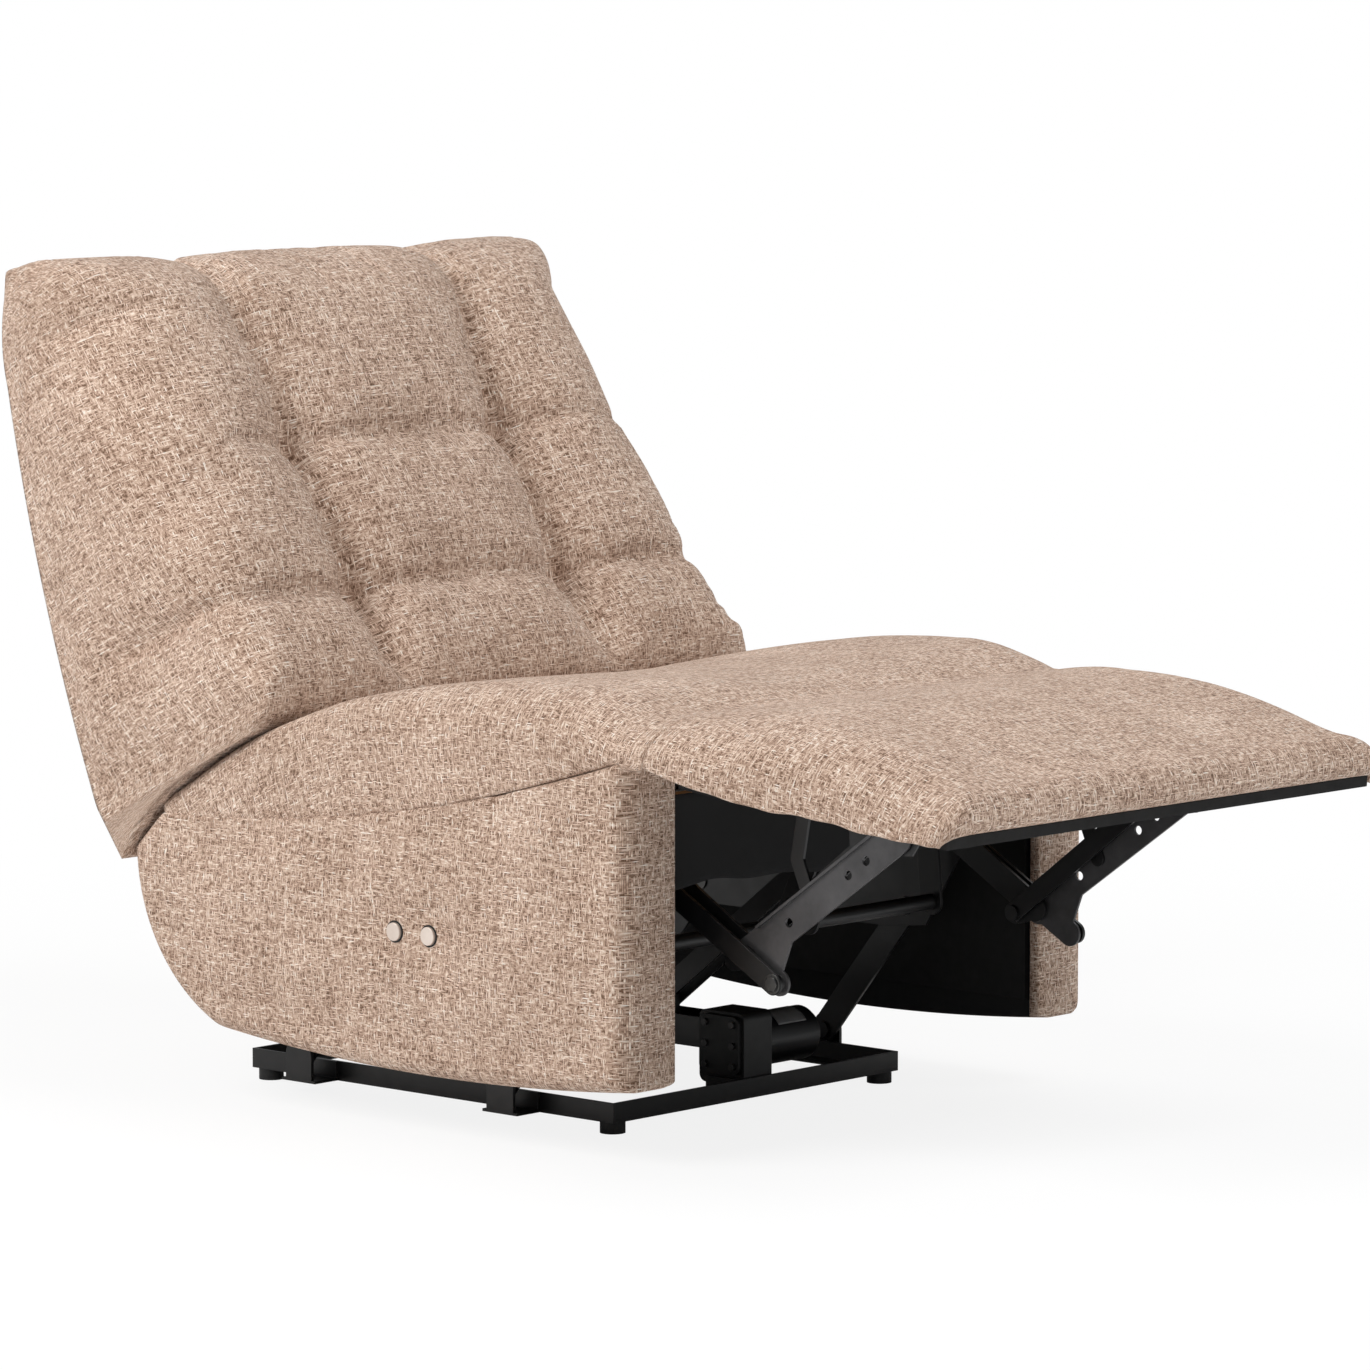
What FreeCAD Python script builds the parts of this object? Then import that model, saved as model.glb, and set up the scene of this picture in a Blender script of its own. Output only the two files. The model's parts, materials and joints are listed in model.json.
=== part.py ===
import FreeCAD, Part
import math
import os
from FreeCAD import Vector

os.makedirs("parts", exist_ok=True)

# Power recliner, shown fully open. Millimetres, +Z up, the chair faces -Y,
# the sitter's right hand is at -X. Points are (y, z) measured from the front
# face of the side panels and from the floor; the last step centres the chair.

# Upholstery
PANEL_HALF_WIDTH = 390.0
PANEL_INNER_X = 301.0
BOARD_THICK = 18.0
BACK_HALF_WIDTH = 399.0
SEAT_HALF_WIDTH = 385.0
FOOTREST_HALF_WIDTH = 367.0
BACK_FRAME_LEAN = 17.0
TUFT_X = 168.0
TUFT_RADIUS = 34.0
TUFT_DEPTH = 13.0

# Pivots of the linkage
REAR_LINK_SEAT = (108.0, 312.0)
KNEE = (-50.0, 217.0)
HEEL = (-93.0, 192.0)
CONTROL_SEAT = (85.63, 295.04)
FOOTREST_PIVOT = (-255.0, 362.0)
TILT_LINK_LOW = (-23.0, 210.0)
TILT_LINK_HIGH = (-205.0, 349.35)
TORQUE_TUBE = (100.0, 210.0)
DRIVE_EYE = (64.7, 287.0)
CRANK_SPACER = (90.5, 320.2)
DRIVE_NUT = (300.0, 104.0)
FRONT_LIFT_BASE = (285.0, 42.0)
FRONT_LIFT_SEAT = (160.0, 197.0)
REAR_LIFT_BASE = (595.0, 42.0)
REAR_LIFT_SEAT = (470.0, 197.0)
RECLINE_LOW = (441.75, 232.03)
RECLINE_HIGH = (590.0, 322.63)
BACK_PIVOT = (560.0, 400.0)

# Steel layers counted outwards from the middle of the chair
TILT_LINK_X = (227.0, 231.0)
REAR_LINK_X = (232.0, 236.0)
ARM_X = (236.5, 240.0)
BRACKET_X = (236.0, 239.0)
CHANNEL_X = (240.0, 243.0)
CHANNEL_LIP_X = 248.0
CONTROL_LINK_X = (249.5, 253.5)
POST_X = (250.0, 254.0)
POST_WIDTH = 26.0
PLATE_X = (257.0, 260.0)
LIFT_X = (262.0, 266.0)
RECLINE_X = (267.0, 271.0)
EAR_X = (268.0, 272.0)

PIN = 12.0
BIG_PIN = 14.0
RUNNING_FIT = 0.1

# Base frame
RAIL_OUTER_X = 236.0
RAIL_TOP = 35.0
RAIL_BOTTOM = 13.0
RAIL_FRONT_Y = 150.0
RAIL_REAR_Y = 705.0
STEEL = 3.0
RAIL_LEG = 28.0

# Drive unit
DRIVE_X = 5.0
GEARBOX_FRONT_Y = 156.0
GEARBOX_REAR_Y = 222.0
TRACK_END_Y = 500.0
SCREW_Z = 80.0
SCREW_DIAMETER = 12.0
MOTOR_DIAMETER = 60.0
TUBE_DIAMETER = 18.0

# Buttons on the outside of the right panel
BUTTONS = ((329.0, 221.0), (278.0, 221.0))
BUTTON_DIAMETER = 20.0
BUTTON_FACE_X = 391.5

nodes = {}


def box(x0, x1, y0, y1, z0, z1):
    return Part.makeBox(x1 - x0, y1 - y0, z1 - z0, Vector(x0, y0, z0))


def cyl_x(point, diameter, x0, x1):
    start = Vector(x0, point[0], point[1])
    return Part.makeCylinder(diameter / 2.0, x1 - x0, start, Vector(1, 0, 0))


def plate(points, x0, x1):
    corners = [Vector(x0, y, z) for y, z in points]
    face = Part.Face(Part.makePolygon(corners + corners[:1]))
    return face.extrude(Vector(x1 - x0, 0, 0))


def link(first, second, width, layer):
    """Flat bar with round ends between two pivots."""
    dy = second[0] - first[0]
    dz = second[1] - first[1]
    length = math.hypot(dy, dz)
    side_y = -dz / length * width / 2.0
    side_z = dy / length * width / 2.0
    corners = [
        (first[0] + side_y, first[1] + side_z),
        (second[0] + side_y, second[1] + side_z),
        (second[0] - side_y, second[1] - side_z),
        (first[0] - side_y, first[1] - side_z),
    ]
    bar = plate(corners, layer[0], layer[1])
    ends = [cyl_x(first, width, layer[0], layer[1]), cyl_x(second, width, layer[0], layer[1])]
    return bar.fuse(ends)


def drilled(shape, holes):
    """Holes along X given as (point, diameter)."""
    tools = [cyl_x(point, diameter, -420.0, 420.0) for point, diameter in holes]
    return shape.cut(tools).removeSplitter()


def outline(x, start, steps):
    """Closed outline at one X from straight steps (end,) and arc steps (middle, end)."""
    edges = []
    here = Vector(x, start[0], start[1])
    for step in steps:
        end = Vector(x, step[-1][0], step[-1][1])
        if len(step) == 1:
            edges.append(Part.makeLine(here, end))
        else:
            middle = Vector(x, step[0][0], step[0][1])
            edges.append(Part.Arc(here, middle, end).toShape())
        here = end
    return Part.Wire(edges)


def moved_outline(x, start, steps, change):
    return outline(x, change(start), [tuple(change(p) for p in step) for step in steps])


def both_halves(half):
    """Sections from the left side to the right side from those of one half, middle first."""
    other = [(-section[0],) + section[1:] for section in reversed(half[1:])]
    return other + half


def mirrored(shape):
    return shape.mirror(Vector(0, 0, 0), Vector(1, 0, 0))


def solids(*shapes):
    parts = []
    for shape in shapes:
        parts.extend(shape.Solids)
    return Part.makeCompound(parts)


def pair(shape):
    return solids(shape, mirrored(shape))


def one(shape):
    return shape.removeSplitter().Solids[0]


# Base: four steel angles on feet, with lift brackets outside the side rails
rail = box(RAIL_OUTER_X - STEEL, RAIL_OUTER_X, RAIL_FRONT_Y, RAIL_REAR_Y, RAIL_BOTTOM, RAIL_TOP)
rail_leg = box(RAIL_OUTER_X - RAIL_LEG, RAIL_OUTER_X - STEEL, RAIL_FRONT_Y, RAIL_REAR_Y,
               RAIL_BOTTOM, RAIL_BOTTOM + STEEL)
nodes["base_side_rail_left"] = one(rail.fuse(rail_leg))
nodes["base_side_rail_right"] = mirrored(nodes["base_side_rail_left"])

end_x = RAIL_OUTER_X - STEEL
leg_x = RAIL_OUTER_X - RAIL_LEG
front = box(-end_x, end_x, RAIL_FRONT_Y, RAIL_FRONT_Y + STEEL, RAIL_BOTTOM + STEEL, RAIL_TOP)
front_leg = box(-leg_x, leg_x, RAIL_FRONT_Y, RAIL_FRONT_Y + RAIL_LEG, RAIL_BOTTOM, RAIL_BOTTOM + STEEL)
nodes["base_front_rail"] = one(front.fuse(front_leg))
rear = box(-end_x, end_x, RAIL_REAR_Y - STEEL, RAIL_REAR_Y, RAIL_BOTTOM + STEEL, RAIL_TOP)
rear_leg = box(-leg_x, leg_x, RAIL_REAR_Y - RAIL_LEG, RAIL_REAR_Y, RAIL_BOTTOM, RAIL_BOTTOM + STEEL)
nodes["base_rear_rail"] = one(rear.fuse(rear_leg))
nodes["base_cross_bar"] = box(-end_x, end_x, TRACK_END_Y - 15, TRACK_END_Y + 15,
                              RAIL_BOTTOM + STEEL, RAIL_BOTTOM + 2 * STEEL)

feet = []
for foot_x in (-221.0, 221.0):
    for foot_y in (RAIL_FRONT_Y + 15.0, RAIL_REAR_Y - 15.0):
        disc = Part.makeCylinder(14.0, RAIL_BOTTOM, Vector(foot_x, foot_y, 0))
        feet.append(disc)
nodes["base_feet"] = solids(*feet)

brackets = []
for base in (FRONT_LIFT_BASE, REAR_LIFT_BASE):
    y = base[0]
    flange = box(RAIL_OUTER_X, EAR_X[1], y - 26, y + 26, RAIL_BOTTOM, RAIL_BOTTOM + STEEL)
    web = box(RAIL_OUTER_X, RAIL_OUTER_X + STEEL, y - 26, y + 26, RAIL_BOTTOM, RAIL_TOP)
    ear = box(EAR_X[0], EAR_X[1], y - 20, y + 20, RAIL_BOTTOM, base[1])
    ear = ear.fuse(cyl_x(base, 40.0, EAR_X[0], EAR_X[1]))
    stud = cyl_x(base, BIG_PIN, LIFT_X[0] - 1.5, EAR_X[1])
    head = cyl_x(base, 20.0, LIFT_X[0] - 3.5, LIFT_X[0] - 0.5)
    brackets.append(one(flange.fuse([web, ear, stud, head])))
nodes["lift_brackets"] = solids(*brackets, *[mirrored(b) for b in brackets])

# Drive unit: gearbox on the front rail, motor beside it, track with screw behind it
gear_x0 = DRIVE_X - 23.0
gear_x1 = DRIVE_X + 23.0
gear_mid_y = (GEARBOX_FRONT_Y + GEARBOX_REAR_Y) / 2.0
shelf = box(gear_x0 - 3, gear_x1, RAIL_FRONT_Y + STEEL, GEARBOX_REAR_Y - 12,
            RAIL_BOTTOM + STEEL, 25.0)
cheek = box(gear_x0 - 3, gear_x0, GEARBOX_FRONT_Y, GEARBOX_REAR_Y - 12, 25.0, 33.0)
nodes["motor_bracket"] = one(shelf.fuse(cheek))

housing = box(gear_x0, gear_x1, GEARBOX_FRONT_Y, GEARBOX_REAR_Y, 25.0, 106.0)
uprights = [e for e in housing.Edges if abs(e.BoundBox.XLength - 46.0) < 0.01]
housing = housing.makeFillet(9.0, uprights)
bearing_start = Vector(DRIVE_X, GEARBOX_REAR_Y - 10, SCREW_Z)
bearing = Part.makeCylinder((SCREW_DIAMETER + RUNNING_FIT) / 2, 10.0, bearing_start, Vector(0, 1, 0))
nodes["gearbox_housing"] = housing.cut(bearing)
cover = box(gear_x0 - 5, gear_x0, GEARBOX_FRONT_Y + 4, GEARBOX_REAR_Y - 4, 37.0, 102.0)
cover_edges = [e for e in cover.Edges if abs(e.BoundBox.XLength - 5.0) < 0.01]
cover = cover.makeFillet(9.0, cover_edges)
screw_points = []
for screw_y in (GEARBOX_FRONT_Y + 13, GEARBOX_REAR_Y - 13):
    for screw_z in (46.0, 69.5, 93.0):
        screw_points.append((screw_y, screw_z))
nodes["gearbox_cover"] = drilled(cover, [(p, 4.0) for p in screw_points])
screws = []
for p in screw_points:
    screws.append(cyl_x(p, 8.0, gear_x0 - 7.5, gear_x0 - 5).fuse(cyl_x(p, 4.0, gear_x0 - 5, gear_x0)))
nodes["gearbox_screws"] = solids(*screws)

motor_axis = (gear_mid_y, 68.0)
nodes["motor_can"] = cyl_x(motor_axis, MOTOR_DIAMETER, gear_x1, gear_x1 + 84)
cap = cyl_x(motor_axis, 52.0, gear_x1 + 84, gear_x1 + 90)
nodes["motor_end_cap"] = one(cap.fuse(cyl_x(motor_axis, 20.0, gear_x1 + 90, gear_x1 + 95)))

track = box(gear_x0, gear_x1, GEARBOX_REAR_Y, TRACK_END_Y + 12, 62.0, 96.0)
hollow = box(gear_x0 + 2.5, gear_x1 - 2.5, GEARBOX_REAR_Y, TRACK_END_Y, 64.5, 97.0)
end_seat = Part.makeCylinder((SCREW_DIAMETER + RUNNING_FIT) / 2, 12.0,
                             Vector(DRIVE_X, TRACK_END_Y, SCREW_Z), Vector(0, 1, 0))
nodes["actuator_track"] = one(track.cut([hollow, end_seat]))
screw_start = Vector(DRIVE_X, GEARBOX_REAR_Y - 9, SCREW_Z)
screw_length = TRACK_END_Y - GEARBOX_REAR_Y + 19
nodes["lead_screw"] = Part.makeCylinder(SCREW_DIAMETER / 2, screw_length, screw_start, Vector(0, 1, 0))
nodes["track_support"] = box(DRIVE_X - 14, DRIVE_X + 14, TRACK_END_Y - 9, TRACK_END_Y + 9,
                             RAIL_BOTTOM + 2 * STEEL, 62.0)

nut = box(DRIVE_X - 11, DRIVE_X + 11, DRIVE_NUT[0] - 18, DRIVE_NUT[0] + 18, 67.0, DRIVE_NUT[1] + 9)
bore_start = Vector(DRIVE_X, DRIVE_NUT[0] - 30, SCREW_Z)
bore = Part.makeCylinder((SCREW_DIAMETER + RUNNING_FIT) / 2, 60.0, bore_start, Vector(0, 1, 0))
nut = nut.cut(bore)
nut_pin = cyl_x(DRIVE_NUT, PIN, DRIVE_X - 17.5, DRIVE_X + 17.5)
nodes["drive_nut"] = one(nut.fuse(nut_pin))

drive_bars = []
for bar_x in (DRIVE_X - 16.5, DRIVE_X + 12.5):
    layer = (bar_x, bar_x + 4.0)
    bar = link(DRIVE_NUT, DRIVE_EYE, 24.0, layer)
    drive_bars.append(one(drilled(bar, [(DRIVE_NUT, PIN + RUNNING_FIT), (DRIVE_EYE, 10.0)])))
nodes["drive_links"] = solids(*drive_bars)

# Lift links between base and seat
front_lift = link(FRONT_LIFT_BASE, FRONT_LIFT_SEAT, 32.0, LIFT_X)
lift_holes = [(FRONT_LIFT_BASE, BIG_PIN + RUNNING_FIT), (FRONT_LIFT_SEAT, BIG_PIN + RUNNING_FIT)]
nodes["front_lift_links"] = pair(drilled(front_lift, lift_holes))
rear_lift = link(REAR_LIFT_BASE, RECLINE_LOW, 30.0, LIFT_X)
lift_holes = [(REAR_LIFT_BASE, BIG_PIN + RUNNING_FIT), (REAR_LIFT_SEAT, BIG_PIN + 0.8)]
rear_lift = drilled(rear_lift, lift_holes)
recline_stud = cyl_x(RECLINE_LOW, PIN, LIFT_X[0], RECLINE_X[1] + 0.5)
recline_head = cyl_x(RECLINE_LOW, 18.0, RECLINE_X[1] + 0.5, RECLINE_X[1] + 3.5)
nodes["rear_lift_links"] = pair(one(rear_lift.fuse([recline_stud, recline_head])))
recline = link(RECLINE_LOW, RECLINE_HIGH, 28.0, RECLINE_X)
recline = drilled(recline, [(RECLINE_LOW, PIN + RUNNING_FIT), (RECLINE_HIGH, PIN + 5.6)])
nodes["recline_links"] = pair(recline)

# Seat steelwork
plate_points = [
    (72, 338), (62, 290), (128, 178), (180, 172), (450, 172), (500, 190), (545, 320),
    (575, 360), (584, 400), (574, 420), (558, 424), (540, 416), (520, 350), (480, 338),
]
plate_bolts = [(150.0, 313.0), (300.0, 313.0), (480.0, 313.0)]
seat_pivots = [
    (REAR_LINK_SEAT, PIN), (CONTROL_SEAT, PIN), (FRONT_LIFT_SEAT, BIG_PIN),
    (REAR_LIFT_SEAT, BIG_PIN), (BACK_PIVOT, BIG_PIN),
]
side_plate = plate(plate_points, PLATE_X[0], PLATE_X[1])
side_plate = drilled(side_plate, seat_pivots + [(p, 8.0) for p in plate_bolts])
nodes["seat_side_plates"] = pair(side_plate)

bolts = []
for p in plate_bolts:
    shank = cyl_x(p, 8.0, PLATE_X[0], 292.0)
    bolts.append(shank.fuse(cyl_x(p, 15.0, PLATE_X[0] - 2.5, PLATE_X[0])))
nodes["seat_plate_bolts"] = solids(*bolts, *[mirrored(b) for b in bolts])

pins = []
shaft = cyl_x(REAR_LINK_SEAT, PIN, REAR_LINK_X[0] - 1, PLATE_X[1])
collar = cyl_x(REAR_LINK_SEAT, 18.0, REAR_LINK_X[1] + 0.5, PLATE_X[0])
head = cyl_x(REAR_LINK_SEAT, 20.0, REAR_LINK_X[0] - 4, REAR_LINK_X[0] - 0.5)
pins.append(one(shaft.fuse([collar, head])))
shaft = cyl_x(CONTROL_SEAT, PIN, CONTROL_LINK_X[0] - 1, PLATE_X[1])
collar = cyl_x(CONTROL_SEAT, 17.0, CONTROL_LINK_X[1] + 0.5, PLATE_X[0])
head = cyl_x(CONTROL_SEAT, 18.0, CONTROL_LINK_X[0] - 3, CONTROL_LINK_X[0] - 0.5)
pins.append(one(shaft.fuse([collar, head])))
for p in (FRONT_LIFT_SEAT, REAR_LIFT_SEAT):
    shaft = cyl_x(p, BIG_PIN, PLATE_X[0], LIFT_X[1] + 1)
    inner = cyl_x(p, 22.0, PLATE_X[0] - 2, PLATE_X[0])
    outer_head = cyl_x(p, 22.0, LIFT_X[1] + 0.5, LIFT_X[1] + 3)
    pins.append(one(shaft.fuse([inner, outer_head])))
shaft = cyl_x(BACK_PIVOT, BIG_PIN, POST_X[0] - 1, PLATE_X[1])
collar = cyl_x(BACK_PIVOT, 22.0, POST_X[1] + 0.5, PLATE_X[0])
head = cyl_x(BACK_PIVOT, 24.0, POST_X[0] - 3, POST_X[0] - 0.5)
pins.append(one(shaft.fuse([collar, head])))
nodes["seat_pivot_pins"] = solids(*pins, *[mirrored(p) for p in pins])

# Seat frame of wood with webbing
side_rail = box(PLATE_X[1], PANEL_INNER_X, 43, 500, 296, 330)
side_rail = drilled(side_rail, [(p, 8.0) for p in plate_bolts])
nodes["seat_wood_side_rails"] = pair(side_rail)
nodes["seat_wood_front_rail"] = box(-PANEL_INNER_X, PANEL_INNER_X, 18, 43, 292, 384)
nodes["seat_wood_rear_rail"] = box(-PANEL_INNER_X, PANEL_INNER_X, 640, 665, 275, 318)
nodes["seat_front_apron"] = box(-PANEL_INNER_X, PANEL_INNER_X, 15, 18, 286, 386)
straps = []
strap_line = [(20, 384), (43, 384), (640, 318), (664, 318), (664, 320), (640, 320), (43, 386), (20, 386)]
for strap_x in (-200.0, -120.0, -40.0, 40.0, 120.0, 200.0):
    straps.append(plate(strap_line, strap_x - 25, strap_x + 25))
nodes["seat_webbing"] = solids(*straps)

# Side panels: an inner board and a padded cover that wraps round its front edge
board_points = [
    (20, 100), (20, 412), (190, 366), (400, 333), (630, 312), (672, 270), (640, 150), (590, 100),
]
nodes["side_board_left"] = plate(board_points, PANEL_INNER_X, PANEL_INNER_X + BOARD_THICK)
nodes["side_board_right"] = mirrored(nodes["side_board_left"])

panel_start = (0.0, 79.0)
panel_steps = [
    ((0.0, 430.0),),
    ((283.0, 359.0), (690.0, 318.0)),
    ((745.0, 268.0),),
    ((710.0, 163.0), (614.0, 84.0)),
    ((300.0, 64.0), (0.0, 79.0)),
]


def drawn_in(scale):
    return lambda p: (350.0 + scale * (p[0] - 350.0), 240.0 + scale * (p[1] - 240.0))


padding_outer_x = PANEL_INNER_X + BOARD_THICK
panel_sections = [(padding_outer_x, 1.0), (366.0, 1.0), (380.0, 0.99), (PANEL_HALF_WIDTH, 0.955)]
panel_wires = [moved_outline(x, panel_start, panel_steps, drawn_in(k)) for x, k in panel_sections]
padding = Part.makeLoft(panel_wires, True, True)
wrap = box(PANEL_INNER_X, padding_outer_x, 0, 20, 84, 424)
padding = one(padding.fuse(wrap))
nodes["side_padding_left"] = padding

switch_box = box(-374, -344, 258, 349, 202, 240)
sleeves = []
button_holes = []
for p in BUTTONS:
    tube = cyl_x(p, 24.0, -388.5, -374.0)
    sleeves.append(tube.cut(cyl_x(p, BUTTON_DIAMETER + 0.6, -400.0, -374.0)))
    button_holes.append(cyl_x(p, 24.0, -400.0, -374.0))
nodes["side_padding_right"] = one(mirrored(padding).cut([switch_box] + button_holes))
nodes["switch_box"] = switch_box
nodes["button_sleeves"] = solids(*sleeves)
for name, p in zip(("button_close", "button_open"), BUTTONS):
    cap = cyl_x(p, BUTTON_DIAMETER, -BUTTON_FACE_X, -378.0)
    rim = [e for e in cap.Edges if abs(e.BoundBox.XMin + BUTTON_FACE_X) < 0.01 and e.BoundBox.YLength > 1]
    nodes[name] = cap.makeFillet(1.0, rim)

# Seat cushion: domed top, drawn in towards both sides
seat_start = (2.0, 435.0)
seat_steps = [
    ((-8.0, 455.0),),
    ((-5.0, 485.0), (25.0, 498.0)),
    ((220.0, 496.0), (420.0, 466.0)),
    ((560.0, 412.0), (701.0, 330.0)),
    ((690.0, 321.0),),
    ((283.0, 363.0), (2.0, 435.0)),
]


def seat_floor(y):
    return 435.0 - 0.3 * y + 0.000195 * y * y


def seat_height(scale, inset):
    def change(p):
        y = p[0] + inset * (1.0 - 2.0 * (p[0] + 8.0) / 709.0)
        return (y, seat_floor(p[0]) + scale * (p[1] - seat_floor(p[0])))
    return change


seat_half = [(0.0, 0.96, 0.0), (75.0, 0.965, 0.0), (150.0, 0.98, 0.0), (225.0, 0.995, 0.0),
             (290.0, 1.0, 0.0), (335.0, 0.94, 1.0), (365.0, 0.75, 4.0), (SEAT_HALF_WIDTH, 0.35, 10.0)]
seat_sections = both_halves(seat_half)
seat_wires = [moved_outline(x, seat_start, seat_steps, seat_height(k, i)) for x, k, i in seat_sections]
dome = Part.makeLoft(seat_wires, True, False)
core = plate([(12, 389), (43, 389), (640, 323), (684, 324), (560, 390), (420, 430), (200, 455), (12, 455)],
             -296, 296)
under_webbing = plate([(43, 389), (700, 316.4), (700, 250), (43, 250)], -300, 300)
slot = box(247, 261, 470, 720, 280, 540)
recline_room = box(261, 276, 535, 660, 280, 358)
rooms = [slot, recline_room]
cushion = dome.fuse(core).cut([under_webbing] + rooms + [mirrored(room) for room in rooms])
nodes["seat_cushion"] = one(cushion)

# Back: wooden frame leaning on two steel posts, deep tufted pillow, outside panel
lean = math.tan(math.radians(BACK_FRAME_LEAN))


def frame_y(z):
    return 722.0 + lean * (z - 290.0)


def frame_member(x0, x1, z0, z1):
    thick = 30.0
    corners = [(frame_y(z0), z0), (frame_y(z1), z1), (frame_y(z1) + thick, z1), (frame_y(z0) + thick, z0)]
    return plate(corners, x0, x1)


post_points = [(792.0, 470.0), (824.0, 575.0)]
upright = drilled(frame_member(POST_X[1], 299.0, 305.0, 855.0), [(p, 8.0) for p in post_points])
nodes["back_uprights"] = pair(upright)
nodes["back_top_rail"] = frame_member(-POST_X[1], POST_X[1], 795.0, 855.0)
nodes["back_bottom_rail"] = frame_member(-POST_X[0] + 2, POST_X[0] - 2, 330.0, 390.0)
straps = []
for strap_z in (417.0, 545.0, 650.0, 755.0):
    low = strap_z - 25.0
    high = strap_z + 25.0
    front_edge = [(frame_y(low) - 2, low), (frame_y(high) - 2, high)]
    rear_edge = [(frame_y(high), high), (frame_y(low), low)]
    straps.append(plate(front_edge + rear_edge, -290.0, 290.0))
nodes["back_webbing"] = solids(*straps)

post = link(BACK_PIVOT, post_points[0], POST_WIDTH, POST_X)
upper = link(post_points[0], post_points[1], POST_WIDTH, POST_X)
pivot_eye = cyl_x(BACK_PIVOT, 36.0, POST_X[0], POST_X[1])
lower = link(BACK_PIVOT, RECLINE_HIGH, 36.0, POST_X)
post = post.fuse([upper, lower, pivot_eye])
post = drilled(post, [(BACK_PIVOT, BIG_PIN + RUNNING_FIT)] + [(p, 8.0) for p in post_points])
post = one(post.fuse(cyl_x(RECLINE_HIGH, PIN, POST_X[0], RECLINE_X[1] + 2)))
nodes["back_posts"] = pair(post)
bolts = []
for p in post_points:
    shank = cyl_x(p, 8.0, POST_X[0], 292.0)
    bolts.append(shank.fuse(cyl_x(p, 15.0, POST_X[0] - 3, POST_X[0])))
nodes["back_post_bolts"] = solids(*bolts, *[mirrored(b) for b in bolts])

back_start = (540.0, 450.0)
back_steps = [
    ((521.0, 468.0), (530.0, 492.0)),
    ((766.0, 880.0),),
    ((806.0, 912.0), (866.0, 919.0)),
    ((905.0, 917.0), (927.0, 900.0)),
    ((940.0, 845.0), (930.0, 780.0)),
    ((887.0, 608.0), (790.0, 316.0)),
    ((757.0, 274.0),),
    ((716.0, 348.0),),
    ((540.0, 450.0),),
]


def pillow(rounding):
    """The front draws back towards the sides, further at the top; the rear edge stays."""
    def change(p):
        y, z = p
        front_y = 530.0 + (z - 492.0) * 0.608
        rear_y = min(925.0, 757.0 + (z - 274.0) * 0.329)
        share = min(1.0, max(0.0, (rear_y - y) / (rear_y - front_y)))
        radius = 50.0 + (z - 465.0) * 0.21
        return (y + rounding * share * share * radius, z)
    return change


back_half = [(0.0, 0.0), (80.0, 0.0), (160.0, 0.0), (240.0, 0.0), (300.0, 0.02),
             (345.0, 0.13), (380.0, 0.43), (BACK_HALF_WIDTH, 0.95)]
back_wires = [moved_outline(x, back_start, back_steps, pillow(k)) for x, k in both_halves(back_half)]
pillow_body = Part.makeLoft(back_wires, True, False)
pocket = plate([(frame_y(240) - 4, 240), (frame_y(862) - 4, 862), (1000, 862), (1000, 240)], -354, 354)
slot_points = [(510, 300), (510, 430), (575, 442), (764, 514), (786, 606), (880, 606), (880, 300)]
post_slot = plate(slot_points, 246, 262)
tools = [pocket, post_slot, mirrored(post_slot)]

# Sewn channels: two up the back and two across it
face_low = Vector(0, 530.0, 492.0)
face_up = Vector(0, 236.0, 388.0)
face_length = face_up.Length
face_up.normalize()
face_out = Vector(0, -face_up.z, face_up.y)
axis_out = TUFT_RADIUS - TUFT_DEPTH
for tuft_x in (-TUFT_X, TUFT_X):
    foot = face_low + face_out * (axis_out + 5.0) - face_up * 40.0 + Vector(tuft_x, 0, 0)
    tools.append(Part.makeCylinder(TUFT_RADIUS, face_length + 80.0, foot, face_up))
for share in (0.196, 0.606):
    middle = face_low + face_up * (face_length * share) + face_out * (axis_out + 10.0)
    tools.append(Part.makeCylinder(TUFT_RADIUS, 840.0, middle - Vector(420, 0, 0), Vector(1, 0, 0)))
nodes["back_cushion"] = one(pillow_body.cut(tools))

panel_low = frame_y(306.0) + 30.0
panel_high = frame_y(858.0) + 30.0
outside_start = (panel_low, 306.0)
outside_steps = [
    ((panel_high, 858.0),),
    ((937.0, 858.0),),
    ((938.0, 835.0), (930.0, 780.0)),
    ((887.0, 608.0), (790.0, 316.0)),
    ((panel_low, 306.0),),
]
outside = outline(-350.0, outside_start, outside_steps)
nodes["back_outside_panel"] = Part.Face(outside).extrude(Vector(700, 0, 0))

# Footrest: board on two steel brackets, padded top
def under_board(y):
    return 404.0 + (y + 50.0) * 32.0 / 364.0


board = plate([(-50, 404), (-414, 372), (-415, 384), (-51, 416)], -352, 352)
nodes["footrest_board"] = board
low = under_board(-300.0)
high = under_board(-185.0)
wing = plate([(-300, low), (-185, high), (-188, 335), (-272, 342)], BRACKET_X[0], BRACKET_X[1])
flange = plate([(-300, low), (-185, high), (-185, high - 3), (-300, low - 3)], 212, BRACKET_X[0])
bracket = drilled(wing.fuse(flange), [(FOOTREST_PIVOT, PIN + RUNNING_FIT)])
tilt_pin = cyl_x(TILT_LINK_HIGH, 8.0, TILT_LINK_X[0] - 1.5, BRACKET_X[1])
nodes["footrest_brackets"] = pair(one(bracket.fuse(tilt_pin)))

pad_start = (-50.0, 418.0)
pad_steps = [
    ((-14.0, 460.0),),
    ((-20.0, 475.0), (-42.0, 480.0)),
    ((-170.0, 485.0), (-330.0, 459.0)),
    ((-400.0, 438.0), (-434.0, 410.0)),
    ((-435.0, 394.0), (-418.0, 386.0)),
    ((-50.0, 418.0),),
]


def pad_floor(y):
    return 418.0 + (y + 50.0) * 32.0 / 368.0


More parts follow.
